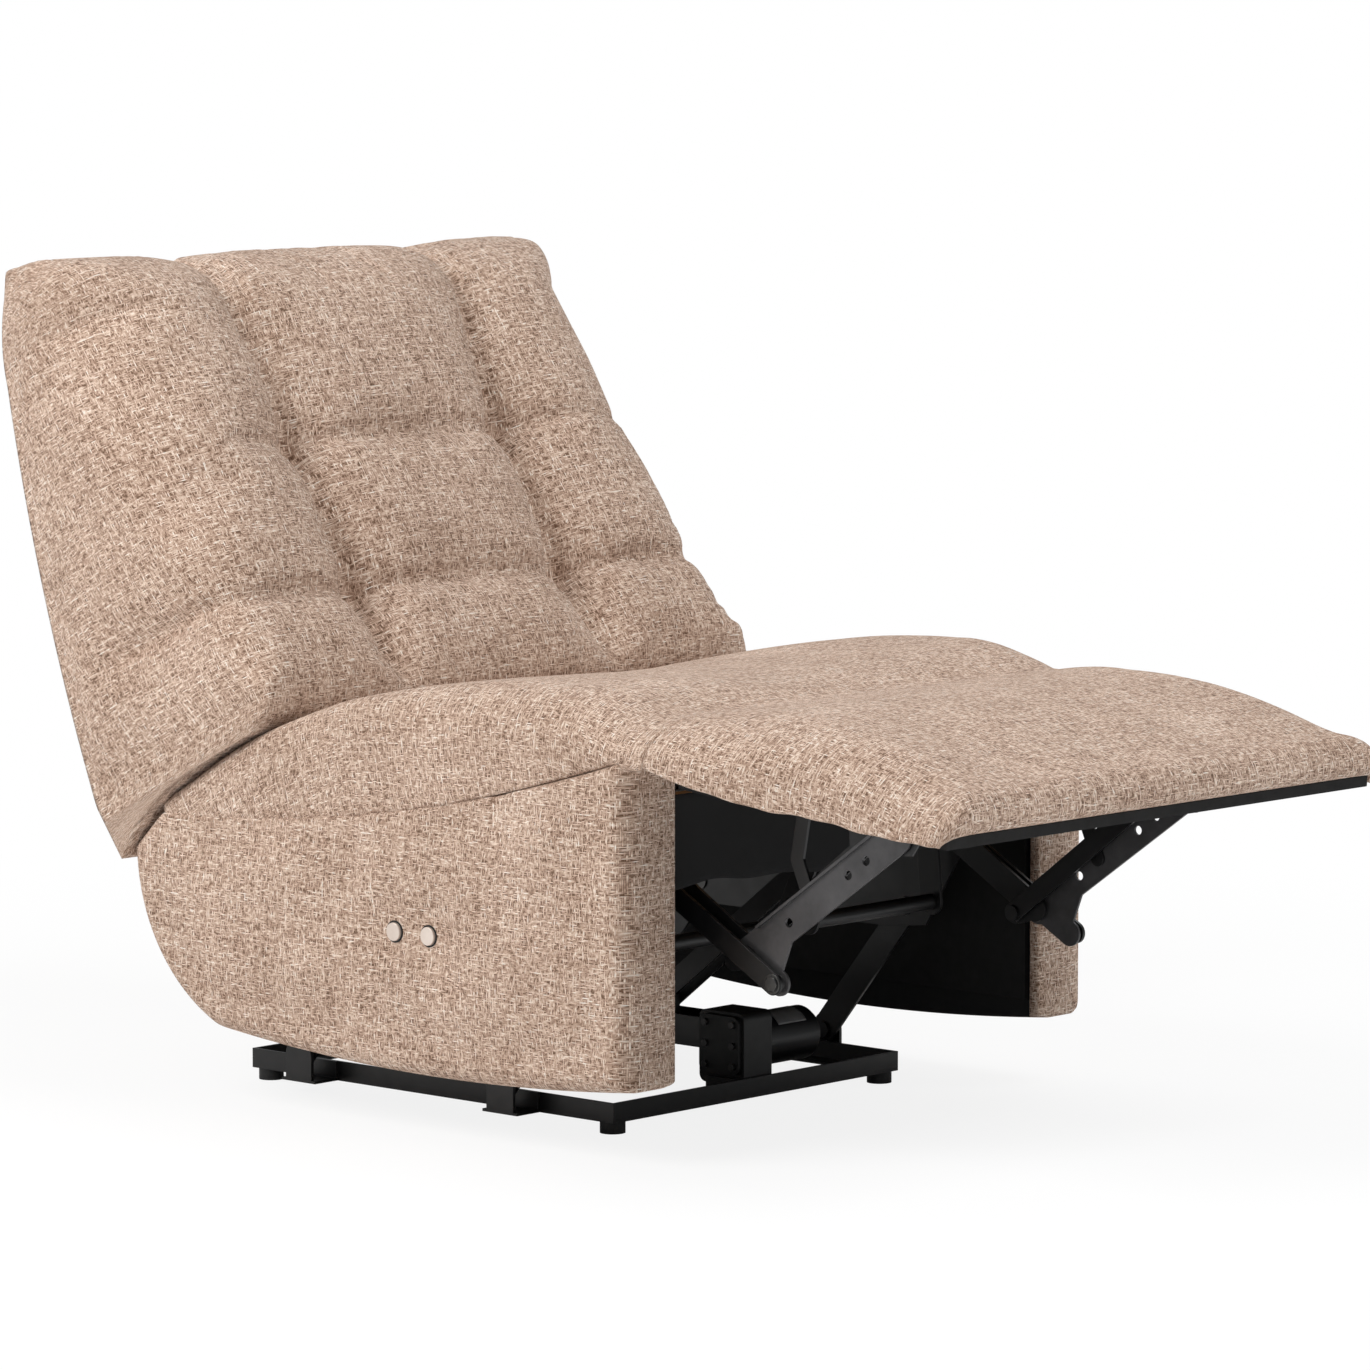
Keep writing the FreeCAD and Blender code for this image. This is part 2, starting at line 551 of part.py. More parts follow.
def pad_height(scale, inset):
    def change(p):
        y = p[0] + inset * (-224.0 - p[0]) / 210.0
        return (y, pad_floor(p[0]) + scale * (p[1] - pad_floor(p[0])))
    return change


pad_half = [(0.0, 1.03, 0.0), (75.0, 1.03, 0.0), (150.0, 1.02, 0.0), (225.0, 1.01, 0.0),
            (285.0, 0.99, 0.0), (325.0, 0.93, 1.0), (351.0, 0.76, 4.0), (FOOTREST_HALF_WIDTH, 0.45, 11.0)]
pad_sections = both_halves(pad_half)
pad_wires = [moved_outline(x, pad_start, pad_steps, pad_height(k, i)) for x, k, i in pad_sections]
nodes["footrest_pad"] = Part.makeLoft(pad_wires, True, False)

# Footrest linkage, outer to inner: control link, channel, rear link, tilt link
rear_link = link(REAR_LINK_SEAT, KNEE, 30.0, REAR_LINK_X)
rear_link = rear_link.fuse([link(REAR_LINK_SEAT, TORQUE_TUBE, 30.0, REAR_LINK_X),
                            link(KNEE, TILT_LINK_LOW, 26.0, REAR_LINK_X)])
rear_link = drilled(rear_link, [(REAR_LINK_SEAT, PIN + RUNNING_FIT), (TORQUE_TUBE, TUBE_DIAMETER)])
knee_pin = cyl_x(KNEE, PIN, REAR_LINK_X[0], CHANNEL_X[1] + 0.5)
knee_head = cyl_x(KNEE, 18.0, CHANNEL_X[1] + 0.5, CHANNEL_X[1] + 4)
tilt_pin = cyl_x(TILT_LINK_LOW, PIN, TILT_LINK_X[0] - 0.5, REAR_LINK_X[1])
tilt_head = cyl_x(TILT_LINK_LOW, 17.0, TILT_LINK_X[0] - 3, TILT_LINK_X[0] - 0.5)
rear_link = one(rear_link.fuse([knee_pin, knee_head, tilt_pin, tilt_head]))
nodes["footrest_rear_links"] = pair(rear_link)

# The cross tube is split at the drive, where two cheeks and a spacer form a throw round the drive links
tubes = []
cheeks = []
for tube_ends, cheek_x in (
    ((-REAR_LINK_X[1], DRIVE_X - 18), (DRIVE_X - 22, DRIVE_X - 18)),
    ((DRIVE_X + 18, REAR_LINK_X[1]), (DRIVE_X + 18, DRIVE_X + 22)),
):
    tube = cyl_x(TORQUE_TUBE, TUBE_DIAMETER, tube_ends[0], tube_ends[1])
    tubes.append(tube.cut(cyl_x(TORQUE_TUBE, TUBE_DIAMETER - 4, tube_ends[0], tube_ends[1])))
    cheek = link(TORQUE_TUBE, DRIVE_EYE, 30.0, cheek_x)
    cheek = cheek.fuse(link(DRIVE_EYE, CRANK_SPACER, 22.0, cheek_x))
    cheeks.append(drilled(cheek, [(TORQUE_TUBE, TUBE_DIAMETER)]))
nodes["torque_tubes"] = solids(*tubes)
spacer = cyl_x(CRANK_SPACER, 14.0, DRIVE_X - 20, DRIVE_X + 20)
nodes["drive_crank"] = one(spacer.fuse(cheeks))

control = link(CONTROL_SEAT, HEEL, 24.0, CONTROL_LINK_X)
control = drilled(control, [(CONTROL_SEAT, PIN + RUNNING_FIT)])
control = one(control.fuse(cyl_x(HEEL, 17.0, CONTROL_LINK_X[1], CONTROL_LINK_X[1] + 2.5)))
nodes["footrest_control_links"] = pair(control)

reach_y = FOOTREST_PIVOT[0] - KNEE[0]
reach_z = FOOTREST_PIVOT[1] - KNEE[1]
reach = math.hypot(reach_y, reach_z)
along = (reach_y / reach, reach_z / reach)
across = (along[1], -along[0])


def on_channel(distance, offset):
    return (KNEE[0] + along[0] * distance - across[0] * offset,
            KNEE[1] + along[1] * distance - across[1] * offset)


web = link(KNEE, FOOTREST_PIVOT, 38.0, CHANNEL_X)
heel = plate([on_channel(-14, 4), on_channel(60, 0), on_channel(60, 19), HEEL], CHANNEL_X[0], CHANNEL_X[1])
heel = heel.fuse(link(KNEE, HEEL, 28.0, CHANNEL_X))
lip = plate([on_channel(30, -19), on_channel(reach, -19), on_channel(reach, -16), on_channel(30, -16)],
            CHANNEL_X[0], CHANNEL_LIP_X)
channel = web.fuse([heel, lip])
channel_holes = [(KNEE, PIN + RUNNING_FIT)]
for distance in (70.0, 170.0, 200.0):
    channel_holes.append((on_channel(distance, 0), 10.0))
channel = drilled(channel, channel_holes)
pivot_pin = cyl_x(FOOTREST_PIVOT, PIN, BRACKET_X[0] - 0.5, CHANNEL_X[1])
pivot_head = cyl_x(FOOTREST_PIVOT, 18.0, BRACKET_X[0] - 3, BRACKET_X[0] - 0.5)
heel_boss = cyl_x(HEEL, 16.0, CHANNEL_X[1], CONTROL_LINK_X[0] - 0.5)
nodes["footrest_channels"] = pair(one(channel.fuse([pivot_pin, pivot_head, heel_boss])))

arm_low = on_channel(105.0, -2.0)
arm = link(arm_low, (-115.0, 325.0), 17.0, ARM_X)
arm = arm.fuse(link((-115.0, 325.0), (-124.0, 374.0), 17.0, ARM_X))
nodes["footrest_stop_arms"] = pair(one(arm))
stop_top = under_board(-134.0) - 3.0
stop = box(236.5, 246.0, -134.0, -114.0, 382.5, stop_top)
nodes["footrest_bumpers"] = pair(stop)

tilt = link(TILT_LINK_LOW, TILT_LINK_HIGH, 22.0, TILT_LINK_X)
tilt = drilled(tilt, [(TILT_LINK_LOW, PIN + RUNNING_FIT), (TILT_LINK_HIGH, 13.2)])
nodes["footrest_tilt_links"] = pair(tilt)

# Centre the chair on the origin and write every piece
low_y = nodes["footrest_pad"].optimalBoundingBox().YMin
high_y = nodes["back_cushion"].optimalBoundingBox().YMax
centre = Vector(0, -round((low_y + high_y) / 2.0, 2), 0)
for name, shape in nodes.items():
    placed = shape.copy()
    placed.translate(centre)
    placed.exportStep("parts/" + name + ".step")
    print(name, len(placed.Solids), placed.isValid(), round(placed.Volume / 1000.0, 1))
print("shift", centre.y, "nodes", len(nodes))
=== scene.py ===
"""Looks of the power recliner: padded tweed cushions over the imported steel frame.

Plan points are (y, z) in millimetres, measured from the front face of the side
panels and from the floor. The sitter faces -Y and has the buttons at -X.
"""
import json
import math

import bmesh
import bpy
import numpy as np
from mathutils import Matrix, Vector


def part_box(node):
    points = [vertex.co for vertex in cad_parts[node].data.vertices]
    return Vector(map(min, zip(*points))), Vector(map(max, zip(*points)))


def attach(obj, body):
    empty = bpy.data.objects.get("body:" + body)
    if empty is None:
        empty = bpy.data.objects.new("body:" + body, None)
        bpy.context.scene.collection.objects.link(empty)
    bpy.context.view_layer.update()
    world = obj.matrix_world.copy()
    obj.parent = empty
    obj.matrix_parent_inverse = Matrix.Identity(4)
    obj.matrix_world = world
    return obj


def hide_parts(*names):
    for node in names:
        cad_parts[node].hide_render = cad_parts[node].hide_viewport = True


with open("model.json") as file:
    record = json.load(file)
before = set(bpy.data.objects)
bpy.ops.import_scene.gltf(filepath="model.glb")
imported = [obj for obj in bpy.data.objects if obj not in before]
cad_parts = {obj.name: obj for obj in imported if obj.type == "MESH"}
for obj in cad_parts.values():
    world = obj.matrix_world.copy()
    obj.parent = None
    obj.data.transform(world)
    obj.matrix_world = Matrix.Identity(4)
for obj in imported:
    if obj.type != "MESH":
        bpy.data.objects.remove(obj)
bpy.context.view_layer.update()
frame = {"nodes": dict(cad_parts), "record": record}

MM = 0.001
FRONT_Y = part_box("side_padding_left")[0].y

# Back cushion: middle line from the lower rear edge, under, up the front and over the top
BACK_HALF = 393.0
BACK_LOW_EDGE = (750.0, 262.0)
BACK_FRONT_FOOT = (530.0, 492.0)
BACK_FRONT_TOP = (766.0, 880.0)
BACK_TOP_EDGE = (927.0, 902.0)
BACK_STEPS = [
    ((698.0, 325.0),),
    ((638.0, 369.0), (560.0, 411.0)),
    ((535.0, 424.0),),
    ((518.0, 455.0), BACK_FRONT_FOOT),
    (BACK_FRONT_TOP,),
    ((806.0, 912.0), (866.0, 919.0)),
    ((905.0, 917.0), BACK_TOP_EDGE),
]
BACK_EDGE_STEPS = [
    ((790.0, 316.0),),
    ((880.0, 573.0), (930.0, 780.0)),
    ((938.0, 845.0), BACK_TOP_EDGE),
]
BACK_OUTSIDE_THICKNESS = 6.0

# Tufting: places of the seams, and how deep and how far the pillows fall towards them
TUFT_X = 168.0
TUFT_SPREAD_AT_TOP = 18.0
TUFT_SPREAD_HEIGHTS = (727.0, 910.0)
TUFT_HEIGHTS = (568.0, 727.0)
UPRIGHT_DEPTH = 31.0
UPRIGHT_REACH = 140.0
UPRIGHT_CREASE = 10.0
LEVEL_REACH = 92.0
LEVEL_CREASE = 6.0
LEVEL_X = (0.0, 120.0, 168.0, 210.0, 250.0, 300.0, 400.0)
LEVEL_DEPTHS = ((8.0, 9.0, 13.0, 11.0, 9.0, 8.0, 8.0), (8.0, 9.0, 12.0, 8.0, 4.0, 1.0, 0.0))

# Seat cushion: middle line from the front seam over the top to the rear seam
SEAT_HALF = 386.0
JOINT_FOOT = (-30.0, 424.0)
JOINT_TOP = (-36.0, 477.0)
JOINT_HALF = 387.0
JOINT_RADIUS = 42.0
JOINT_SPREAD = 2.2
SEAT_REAR_SEAM = (690.0, 313.0)
SEAT_STEPS = [
    (JOINT_TOP,),
    ((-12.0, 473.5), (10.0, 476.0)),
    ((62.0, 492.5), (140.0, 497.0)),
    ((290.0, 487.0), (420.0, 463.0)),
    ((560.0, 408.0), (697.0, 328.0)),
    (SEAT_REAR_SEAM,),
]
SEAT_EDGE_STEPS = [((2.0, 431.0),), ((283.0, 354.0), SEAT_REAR_SEAM)]
SEAT_HOLLOW = 9.0
SEAT_HOLLOW_HALF = 270.0

# Footrest pad: middle line from the edge next to the seat to the front edge of the board
PAD_HALF = 367.0
PAD_START = (-33.0, 423.5)
PAD_STEPS = [
    (JOINT_TOP,),
    ((-120.0, 484.5), (-216.0, 479.0)),
    ((-320.0, 459.0), (-400.0, 432.0)),
    ((-428.0, 418.0), (-433.0, 398.0)),
    ((-430.0, 389.0), (-418.0, 386.0)),
]
PAD_EDGE_STEPS = [((-90.0, 407.0), (-170.0, 394.0)), ((-416.0, 371.0),)]
PAD_EAR = (-418.0, 376.0)
PAD_TIP = (-418.0, 370.0)

# Side panels
PANEL_OUTER_X = 388.0
PANEL_INNER_X = 319.0
PANEL_WRAP_X = 301.0
PANEL_LENGTH = 744.0
PANEL_FRONT_FOOT = (0.0, 79.0)
PANEL_FRONT_TOP = (0.0, 431.0)
PANEL_STEPS = [
    (PANEL_FRONT_TOP,),
    ((283.0, 361.0), (690.0, 321.0)),
    ((745.0, 268.0),),
    ((710.0, 163.0), (614.0, 84.0)),
    ((300.0, 64.0), PANEL_FRONT_FOOT),
]
PANEL_SEAM_RADIUS = 7.0
PANEL_EDGE_RADIUS = 24.0
PANEL_SWELL = 5.0

# Upright creases of the panels: place, slant, depth, width, and the heights between which they fade in
PANEL_CREASES = ((394.0, 0.0, 5.0, 10.0, 110.0, 330.0), (187.0, 0.08, 4.2, 11.0, 130.0, 360.0))
CREASE_MIDDLE_Z = 260.0
BUTTONS = ((331.0, 219.5), (281.0, 223.0))
BUTTON_FACE_X = 387.5

# Webbing, hung cloth and stops
STRAP_HALF = 25.0
STRAP_THICKNESS = 1.8
SEAT_STRAPS_X = (-200.0, -120.0, -40.0, 40.0, 120.0, 200.0)
SEAT_STRAP_START = (20.0, 385.0)
SEAT_STRAP_STEPS = [((43.0, 385.0),), ((640.0, 319.0),), ((664.0, 319.0),)]
BACK_STRAPS_Z = (417.0, 545.0, 650.0, 755.0)
BACK_STRAP_HALF_LENGTH = 290.0
BACK_FRAME_START = (722.0, 290.0)
BACK_FRAME_LEAN = 17.0
APRON_Y = 15.5
APRON_THICKNESS = 1.2
BUMPER_HALF_X = 0.00475

# Pivots of the footrest linkage and the outer faces its bolts sit on
KNEE = (-50.0, 217.0)
HEEL = (-93.0, 192.0)
CHANNEL_OUTER_X = 243.0
CONTROL_OUTER_X = 253.5
RECLINE_LINK_X = 269.0
RECLINE_LINK_ROOM = 45.0

# Cloth: mesh spacing, room for the sides in the number of columns, and thread pitch in metres
GRID = 8.0
SIDE_ROOM = 130.0
THREAD = 0.00125
SETTLE_FRAMES = 20

# Studio: lamps with place, size, power and colour, and the camera that matches the photograph
LAMP_TARGET = (0.0, 0.1, 0.45)
LAMPS = (
    ("key", (-3.4, 1.1, 3.4), 2.4, 158.0, (1.0, 0.985, 0.97)),
    ("front_top", (0.9, -2.7, 4.0), 2.5, 112.0, (0.985, 0.995, 1.0)),
    ("far_fill", (4.2, 1.0, 2.6), 2.5, 24.0, (0.96, 0.98, 1.0)),
)
WORLD_STRENGTH = 0.36
FLOOR_SIZE = 40.0
FLOOR_GLOW = (("From Min", 0.9), ("From Max", 2.2), ("To Min", 0.86), ("To Max", 1.0))
CAMERA_PLACE = (-5.697, -4.9012, 1.3108)
CAMERA_TARGET = (-0.01485, 0.2464, 0.46305)
CAMERA_LENS = 183.94


def place(points):
    """Plan millimetres to metres in the shared frame."""
    placed = np.array(points, float) * MM
    placed[..., 1] += FRONT_Y
    return placed


def smooth(value, low, high):
    """0 below low, 1 above high, with a soft step between."""
    t = np.clip((np.asarray(value, float) - low) / (high - low), 0.0, 1.0)
    return t * t * (3.0 - 2.0 * t)


def bell(distance, width):
    """1 at no distance, falling off softly over the given width."""
    return np.exp(-(np.asarray(distance, float) / width) ** 2)


def arc_through(a, b, c, count=40):
    """Points from a over b to c on one circle."""
    (ax, ay), (bx, by), (cx, cy) = a, b, c
    d = 2.0 * (ax * (by - cy) + bx * (cy - ay) + cx * (ay - by))
    a2, b2, c2 = ax * ax + ay * ay, bx * bx + by * by, cx * cx + cy * cy
    ux = (a2 * (by - cy) + b2 * (cy - ay) + c2 * (ay - by)) / d
    uy = (a2 * (cx - bx) + b2 * (ax - cx) + c2 * (bx - ax)) / d
    start = math.atan2(ay - uy, ax - ux)
    middle = (math.atan2(by - uy, bx - ux) - start) % (2.0 * math.pi)
    end = (math.atan2(cy - uy, cx - ux) - start) % (2.0 * math.pi)
    if middle > end:
        end -= 2.0 * math.pi
    angles = start + np.linspace(0.0, end, count)
    radius = math.hypot(ax - ux, ay - uy)
    return np.stack([ux + radius * np.cos(angles), uy + radius * np.sin(angles)], axis=1)


def outline(start, steps):
    """A line made of straight runs and three-point arcs, as many close points."""
    points = [np.array([start])]
    here = start
    for step in steps:
        if len(step) == 1:
            points.append(np.linspace(here, step[0], 40)[1:])
        else:
            points.append(arc_through(here, step[0], step[1])[1:])
        here = step[-1]
    return np.concatenate(points)


def lengths(points):
    """The length along a line at each of its points."""
    steps = np.linalg.norm(np.diff(points, axis=0), axis=1)
    return np.concatenate([[0.0], np.cumsum(steps)])


def along(points, at):
    """Points at the given lengths along a line."""
    run = lengths(points)
    return np.stack([np.interp(at, run, points[:, i]) for i in range(points.shape[1])], axis=1)


def length_at(line, point):
    """The length along a line at its point next to the given one."""
    return lengths(line)[np.argmin(np.hypot(line[:, 0] - point[0], line[:, 1] - point[1]))]


def away_from(x, grid, half, point):
    """Distance of the grid's points from a plan point on the cushion's side."""
    return np.sqrt((x - half) ** 2 + (grid[:, :, 1] - point[0]) ** 2 + (grid[:, :, 2] - point[1]) ** 2)


def side_name(side):
    return "right" if side < 0 else "left"


def grid_object(name, grid, weave, flip=False):
    """A quad mesh through a grid of plan points, with its cloth coordinates as UVs in metres."""
    rows, cols = grid.shape[:2]
    index = np.arange(rows * cols).reshape(rows, cols)
    corners = [index[:-1, :-1], index[:-1, 1:], index[1:, 1:], index[1:, :-1]]
    quads = np.stack(corners, axis=-1).reshape(-1, 4)
    if flip:
        quads = quads[:, ::-1]
    mesh = bpy.data.meshes.new(name)
    mesh.from_pydata(place(grid.reshape(-1, 3)).tolist(), [], quads.tolist())
    layer = mesh.uv_layers.new(name="weave")
    cloth_places = weave.reshape(-1, 2)[quads.reshape(-1)] * MM
    layer.data.foreach_set("uv", cloth_places.astype(np.float32).reshape(-1))
    mesh.polygons.foreach_set("use_smooth", np.ones(len(quads), bool))
    mesh.update()
    obj = bpy.data.objects.new(name, mesh)
    bpy.context.collection.objects.link(obj)
    return obj


def outward(grid):
    """Unit normals of a grid of points."""
    across = np.gradient(grid, axis=1)
    up = np.gradient(grid, axis=0)
    normal = np.cross(across, up)
    size = np.linalg.norm(normal, axis=2, keepdims=True)
    return normal / np.maximum(size, 1e-6)


def wrapped(middle, edge, share_of_edge, half_of, radius_of, spread_of, bulge):
    """Cloth that wraps a cushion from its left sewn edge over the middle line to its right edge.

    Row by row the cloth rises from the edge line, turns a rounded corner and crosses the
    cushion. Returns the grid, its cloth coordinates, the length along the middle line,
    and how far forward of the edge each point is (0 at the sewn edge, 1 on the face).
    """
    total = lengths(middle)[-1]
    rows = int(total / GRID) + 1
    at = np.linspace(0.0, total, rows)
    tops = along(middle, at)
    edge_run = lengths(edge)[-1]
    feet = along(edge, share_of_edge(at / total) * edge_run)
    cols = 2 * int((half_of(0.5) + SIDE_ROOM) / GRID) + 1
    grid = np.zeros((rows, cols, 3))
    weave = np.zeros((rows, cols, 2))
    forward = np.zeros((rows, cols))
    for r in range(rows):
        reach = tops[r] - feet[r]
        depth = max(np.linalg.norm(reach), 0.01)
        half = half_of(at[r] / total)
        radius = min(radius_of(at[r] / total), 0.96 * depth)
        wide = radius * spread_of(at[r] / total)
        turn = np.linspace(0.0, math.pi / 2.0, 16)
        side = np.linspace(0.0, depth - radius, 12)
        side_out = half + bulge * np.sin(math.pi * np.minimum(side / depth, 1.0)) * min(1.0, depth / 80.0)
        last = side_out[-1]
        corner_x = last - wide + wide * np.cos(turn)
        path_x = np.concatenate([side_out, corner_x[1:], np.linspace(corner_x[-1], 0.0, 30)[1:]])
        path_d = np.concatenate([side, depth - radius + radius * np.sin(turn)[1:], np.full(29, depth)])
        path = np.stack([path_x, path_d], axis=1)
        run = lengths(path)
        half_cols = cols // 2 + 1
        right = along(path, np.linspace(0.0, run[-1], half_cols))
        x = np.concatenate([-right[:, 0], right[-2::-1, 0]])
        d = np.concatenate([right[:, 1], right[-2::-1, 1]])
        grid[r, :, 0] = x
        grid[r, :, 1] = feet[r, 0] + reach[0] * d / depth
        grid[r, :, 2] = feet[r, 1] + reach[1] * d / depth
        weave[r, :, 0] = np.linspace(-run[-1], run[-1], cols)
        weave[r, :, 1] = at[r]
        forward[r] = d / depth
    return grid, weave, at, forward


def sag_noise(u, v, size, seed):
    """Smooth unevenness of stuffed cloth, about -1 to 1, repeatable."""
    rng = np.random.RandomState(seed)
    total = np.zeros_like(u)
    for _ in range(9):
        angle = rng.uniform(0.0, math.pi)
        wave = size * rng.uniform(0.6, 1.7)
        phase = rng.uniform(0.0, 2.0 * math.pi)
        total += np.sin((u * math.cos(angle) + v * math.sin(angle)) * 2.0 * math.pi / wave + phase)
    return total / 4.0


def inflate(obj, held, pressure, cap):
    """Lets air press the cloth out where it isn't held, and keeps the result in the mesh."""
    mesh = obj.data
    group = obj.vertex_groups.new(name="held")
    for level in np.unique(np.round(held, 2)):
        if level > 0.0:
            group.add(np.nonzero(np.round(held, 2) == level)[0].tolist(), float(level), "REPLACE")
    cloth = obj.modifiers.new("cloth", "CLOTH")
    cloth.settings.vertex_group_mass = "held"
    cloth.settings.use_pressure = True
    cloth.settings.uniform_pressure_force = pressure
    cloth.settings.effector_weights.gravity = 0.0
    cloth.settings.quality = 6
    cloth.settings.mass = 0.35
    cloth.settings.tension_stiffness = 20.0
    cloth.settings.compression_stiffness = 20.0
    cloth.settings.shear_stiffness = 8.0
    cloth.settings.bending_stiffness = 0.6
    cloth.settings.shrink_min = -0.012
    cloth.collision_settings.use_collision = False
    cloth.point_cache.frame_start = 1
    cloth.point_cache.frame_end = SETTLE_FRAMES
    scene = bpy.context.scene
    for step in range(1, SETTLE_FRAMES + 1):
        scene.frame_set(step)
    shaped = obj.evaluated_get(bpy.context.evaluated_depsgraph_get())
    count = len(mesh.vertices)
    before = np.zeros(count * 3)
    after = np.zeros(count * 3)
    mesh.vertices.foreach_get("co", before)
    shaped.data.vertices.foreach_get("co", after)
    before = before.reshape(-1, 3)
    move = after.reshape(-1, 3) - before
    size = np.linalg.norm(move, axis=1, keepdims=True)
    move *= cap * np.tanh(size / cap) / np.maximum(size, 1e-9)
    obj.modifiers.remove(cloth)
    obj.vertex_groups.remove(group)
    scene.frame_set(1)
    mesh.vertices.foreach_set("co", (before + move).reshape(-1))
    mesh.update()


def refine(values):
    """A grid of values with a new point halfway between all neighbours, on a smooth curve."""
    for axis in (0, 1):
        values = np.swapaxes(values, 0, axis)
        before = np.concatenate([values[:1], values[:-2]])
        after = np.concatenate([values[2:], values[-1:]])
        halfway = (values[:-1] + values[1:]) * 0.5625 - (before + after) * 0.0625
        finer = np.zeros((2 * len(values) - 1,) + values.shape[1:])
        finer[0::2] = values
        finer[1::2] = halfway
        values = np.swapaxes(finer, 0, axis)
    return values


def shape_of(obj, like):
    """The object's points back in plan millimetres, in the grid they were made from."""
    flat = np.zeros(like.size)
    obj.data.vertices.foreach_get("co", flat)
    grid = flat.reshape(like.shape)
    grid[:, :, 1] -= FRONT_Y
    return grid / MM


def fold(distance, width):
    """The sharp valley of a sewn line, 1 on the line and 0 at the given width."""
    return np.clip(1.0 - np.abs(distance) / width, 0.0, 1.0) ** 1.6


def join(objects):
    """Makes one object of several, under the name of the first."""
    bpy.ops.object.select_all(action="DESELECT")
    for obj in objects:
        obj.select_set(True)
    bpy.context.view_layer.objects.active = objects[0]
    bpy.ops.object.join()


def sew(obj, strip):
    """Joins two pieces where their edges meet and turns all faces outward."""
    join([obj, strip])
    shell = bmesh.new()
    shell.from_mesh(obj.data)
    bmesh.ops.remove_doubles(shell, verts=shell.verts, dist=0.0004)
    bmesh.ops.recalc_face_normals(shell, faces=shell.faces)
    shell.to_mesh(obj.data)
    shell.free()


def close(obj, grid, forward, lift=None):
    """Adds the hidden underside of a cushion between its sewn edges, so that it is a closed form.

    lift gives the height by which the underside makes room for what moves below it.
    """
    rows = len(grid)
    centre = grid.shape[1] // 2
    under = np.zeros_like(grid)
    for r in range(rows):
        w = r / (rows - 1.0)
        between = (1.0 - w) * grid[0] + w * grid[-1]
        lean = 1.0 - ((1.0 - w) * forward[0] + w * forward[-1])[:, None]
        under[r, :centre] = between[:centre] + lean[:centre] * (grid[r, 0] - between[0])
        under[r, centre:] = between[centre:] + lean[centre:] * (grid[r, -1] - between[-1])
    under[1:-1, 1:-1, 0] *= 0.97
    if lift:
        under[1:-1, 1:-1, 2] += lift(under[1:-1, 1:-1])
    sew(obj, grid_object("underside", under, under[:, :, :2]))


def thicken(obj, thickness, offset=-1.0):
    """Gives a single layer its thickness in millimetres."""
    thick = obj.modifiers.new("thick", "SOLIDIFY")
    thick.thickness = thickness * MM
    thick.offset = offset


def subdivide(obj, levels):
    fine = obj.modifiers.new("fine", "SUBSURF")
    fine.levels = levels
    fine.render_levels = levels


def finish_soft(obj, body, node, levels=1):
    """Makes a cover a padded piece that follows a body and stands for a node."""
    subdivide(obj, levels)
    obj.data.materials.append(MATERIALS["tweed"])
    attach(obj, body)
    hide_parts(node)


class Shader:
    """A small helper that adds nodes to a material and links them."""

    def __init__(self, name):
        self.material = bpy.data.materials.new(name)
        self.material.use_nodes = True
        self.tree = self.material.node_tree
        self.surface = self.tree.nodes["Principled BSDF"]

    def link(self, value, socket):
        if hasattr(value, "is_output"):
            self.tree.links.new(value, socket)
        else:
            socket.default_value = value

    def math(self, kind, a, b=0.0, c=0.0):
        node = self.tree.nodes.new("ShaderNodeMath")
        node.operation = kind
        for value, socket in zip((a, b, c), node.inputs):
            self.link(value, socket)
        return node.outputs[0]

    def add(self, a, b):
        return self.math("ADD", a, b)

    def times(self, a, b):
        return self.math("MULTIPLY", a, b)

    def cloth_coordinates(self):
        node = self.tree.nodes.new("ShaderNodeUVMap")
        node.uv_map = "weave"
        return node.outputs["UV"]

    def place_coordinates(self):
        return self.tree.nodes.new("ShaderNodeTexCoord").outputs["Object"]

    def split(self, vector):
        node = self.tree.nodes.new("ShaderNodeSeparateXYZ")
        self.link(vector, node.inputs[0])
        return node.outputs[0], node.outputs[1], node.outputs[2]

    def join(self, x, y, z=0.0):
        node = self.tree.nodes.new("ShaderNodeCombineXYZ")
        for value, socket in zip((x, y, z), node.inputs):
            self.link(value, socket)
        return node.outputs[0]

    def noise(self, vector, scale, detail=2.0, roughness=0.5):
        node = self.tree.nodes.new("ShaderNodeTexNoise")
        self.link(vector, node.inputs["Vector"])
        node.inputs["Scale"].default_value = scale
        node.inputs["Detail"].default_value = detail
        node.inputs["Roughness"].default_value = roughness
        return node.outputs["Fac"]

    def ramp(self, value, stops):
        node = self.tree.nodes.new("ShaderNodeValToRGB")
        while len(node.color_ramp.elements) < len(stops):
            node.color_ramp.elements.new(0.5)
        for element, (position, colour) in zip(node.color_ramp.elements, stops):
            element.position = position
            element.color = (*linear(colour), 1.0)
        self.link(value, node.inputs[0])
        return node.outputs[0]

    def grey(self, value, low, high):
        """Maps a 0 to 1 value onto low to high."""
        return self.math("MULTIPLY_ADD", value, high - low, low)

    def mix(self, share, a, b, kind="MIX"):
        node = self.tree.nodes.new("ShaderNodeMix")
        node.data_type = "RGBA"
        node.blend_type = kind
        self.link(share, node.inputs[0])
        self.link(a, node.inputs[6])
        self.link(b, node.inputs[7])
        return node.outputs[2]

    def bump(self, height, strength, distance):
        node = self.tree.nodes.new("ShaderNodeBump")
        node.inputs["Strength"].default_value = strength
        node.inputs["Distance"].default_value = distance
        self.link(height, node.inputs["Height"])
        self.link(node.outputs[0], self.surface.inputs["Normal"])
        return node

    def set(self, **values):
        for name, value in values.items():
            self.link(value, self.surface.inputs[name.replace("_", " ")])


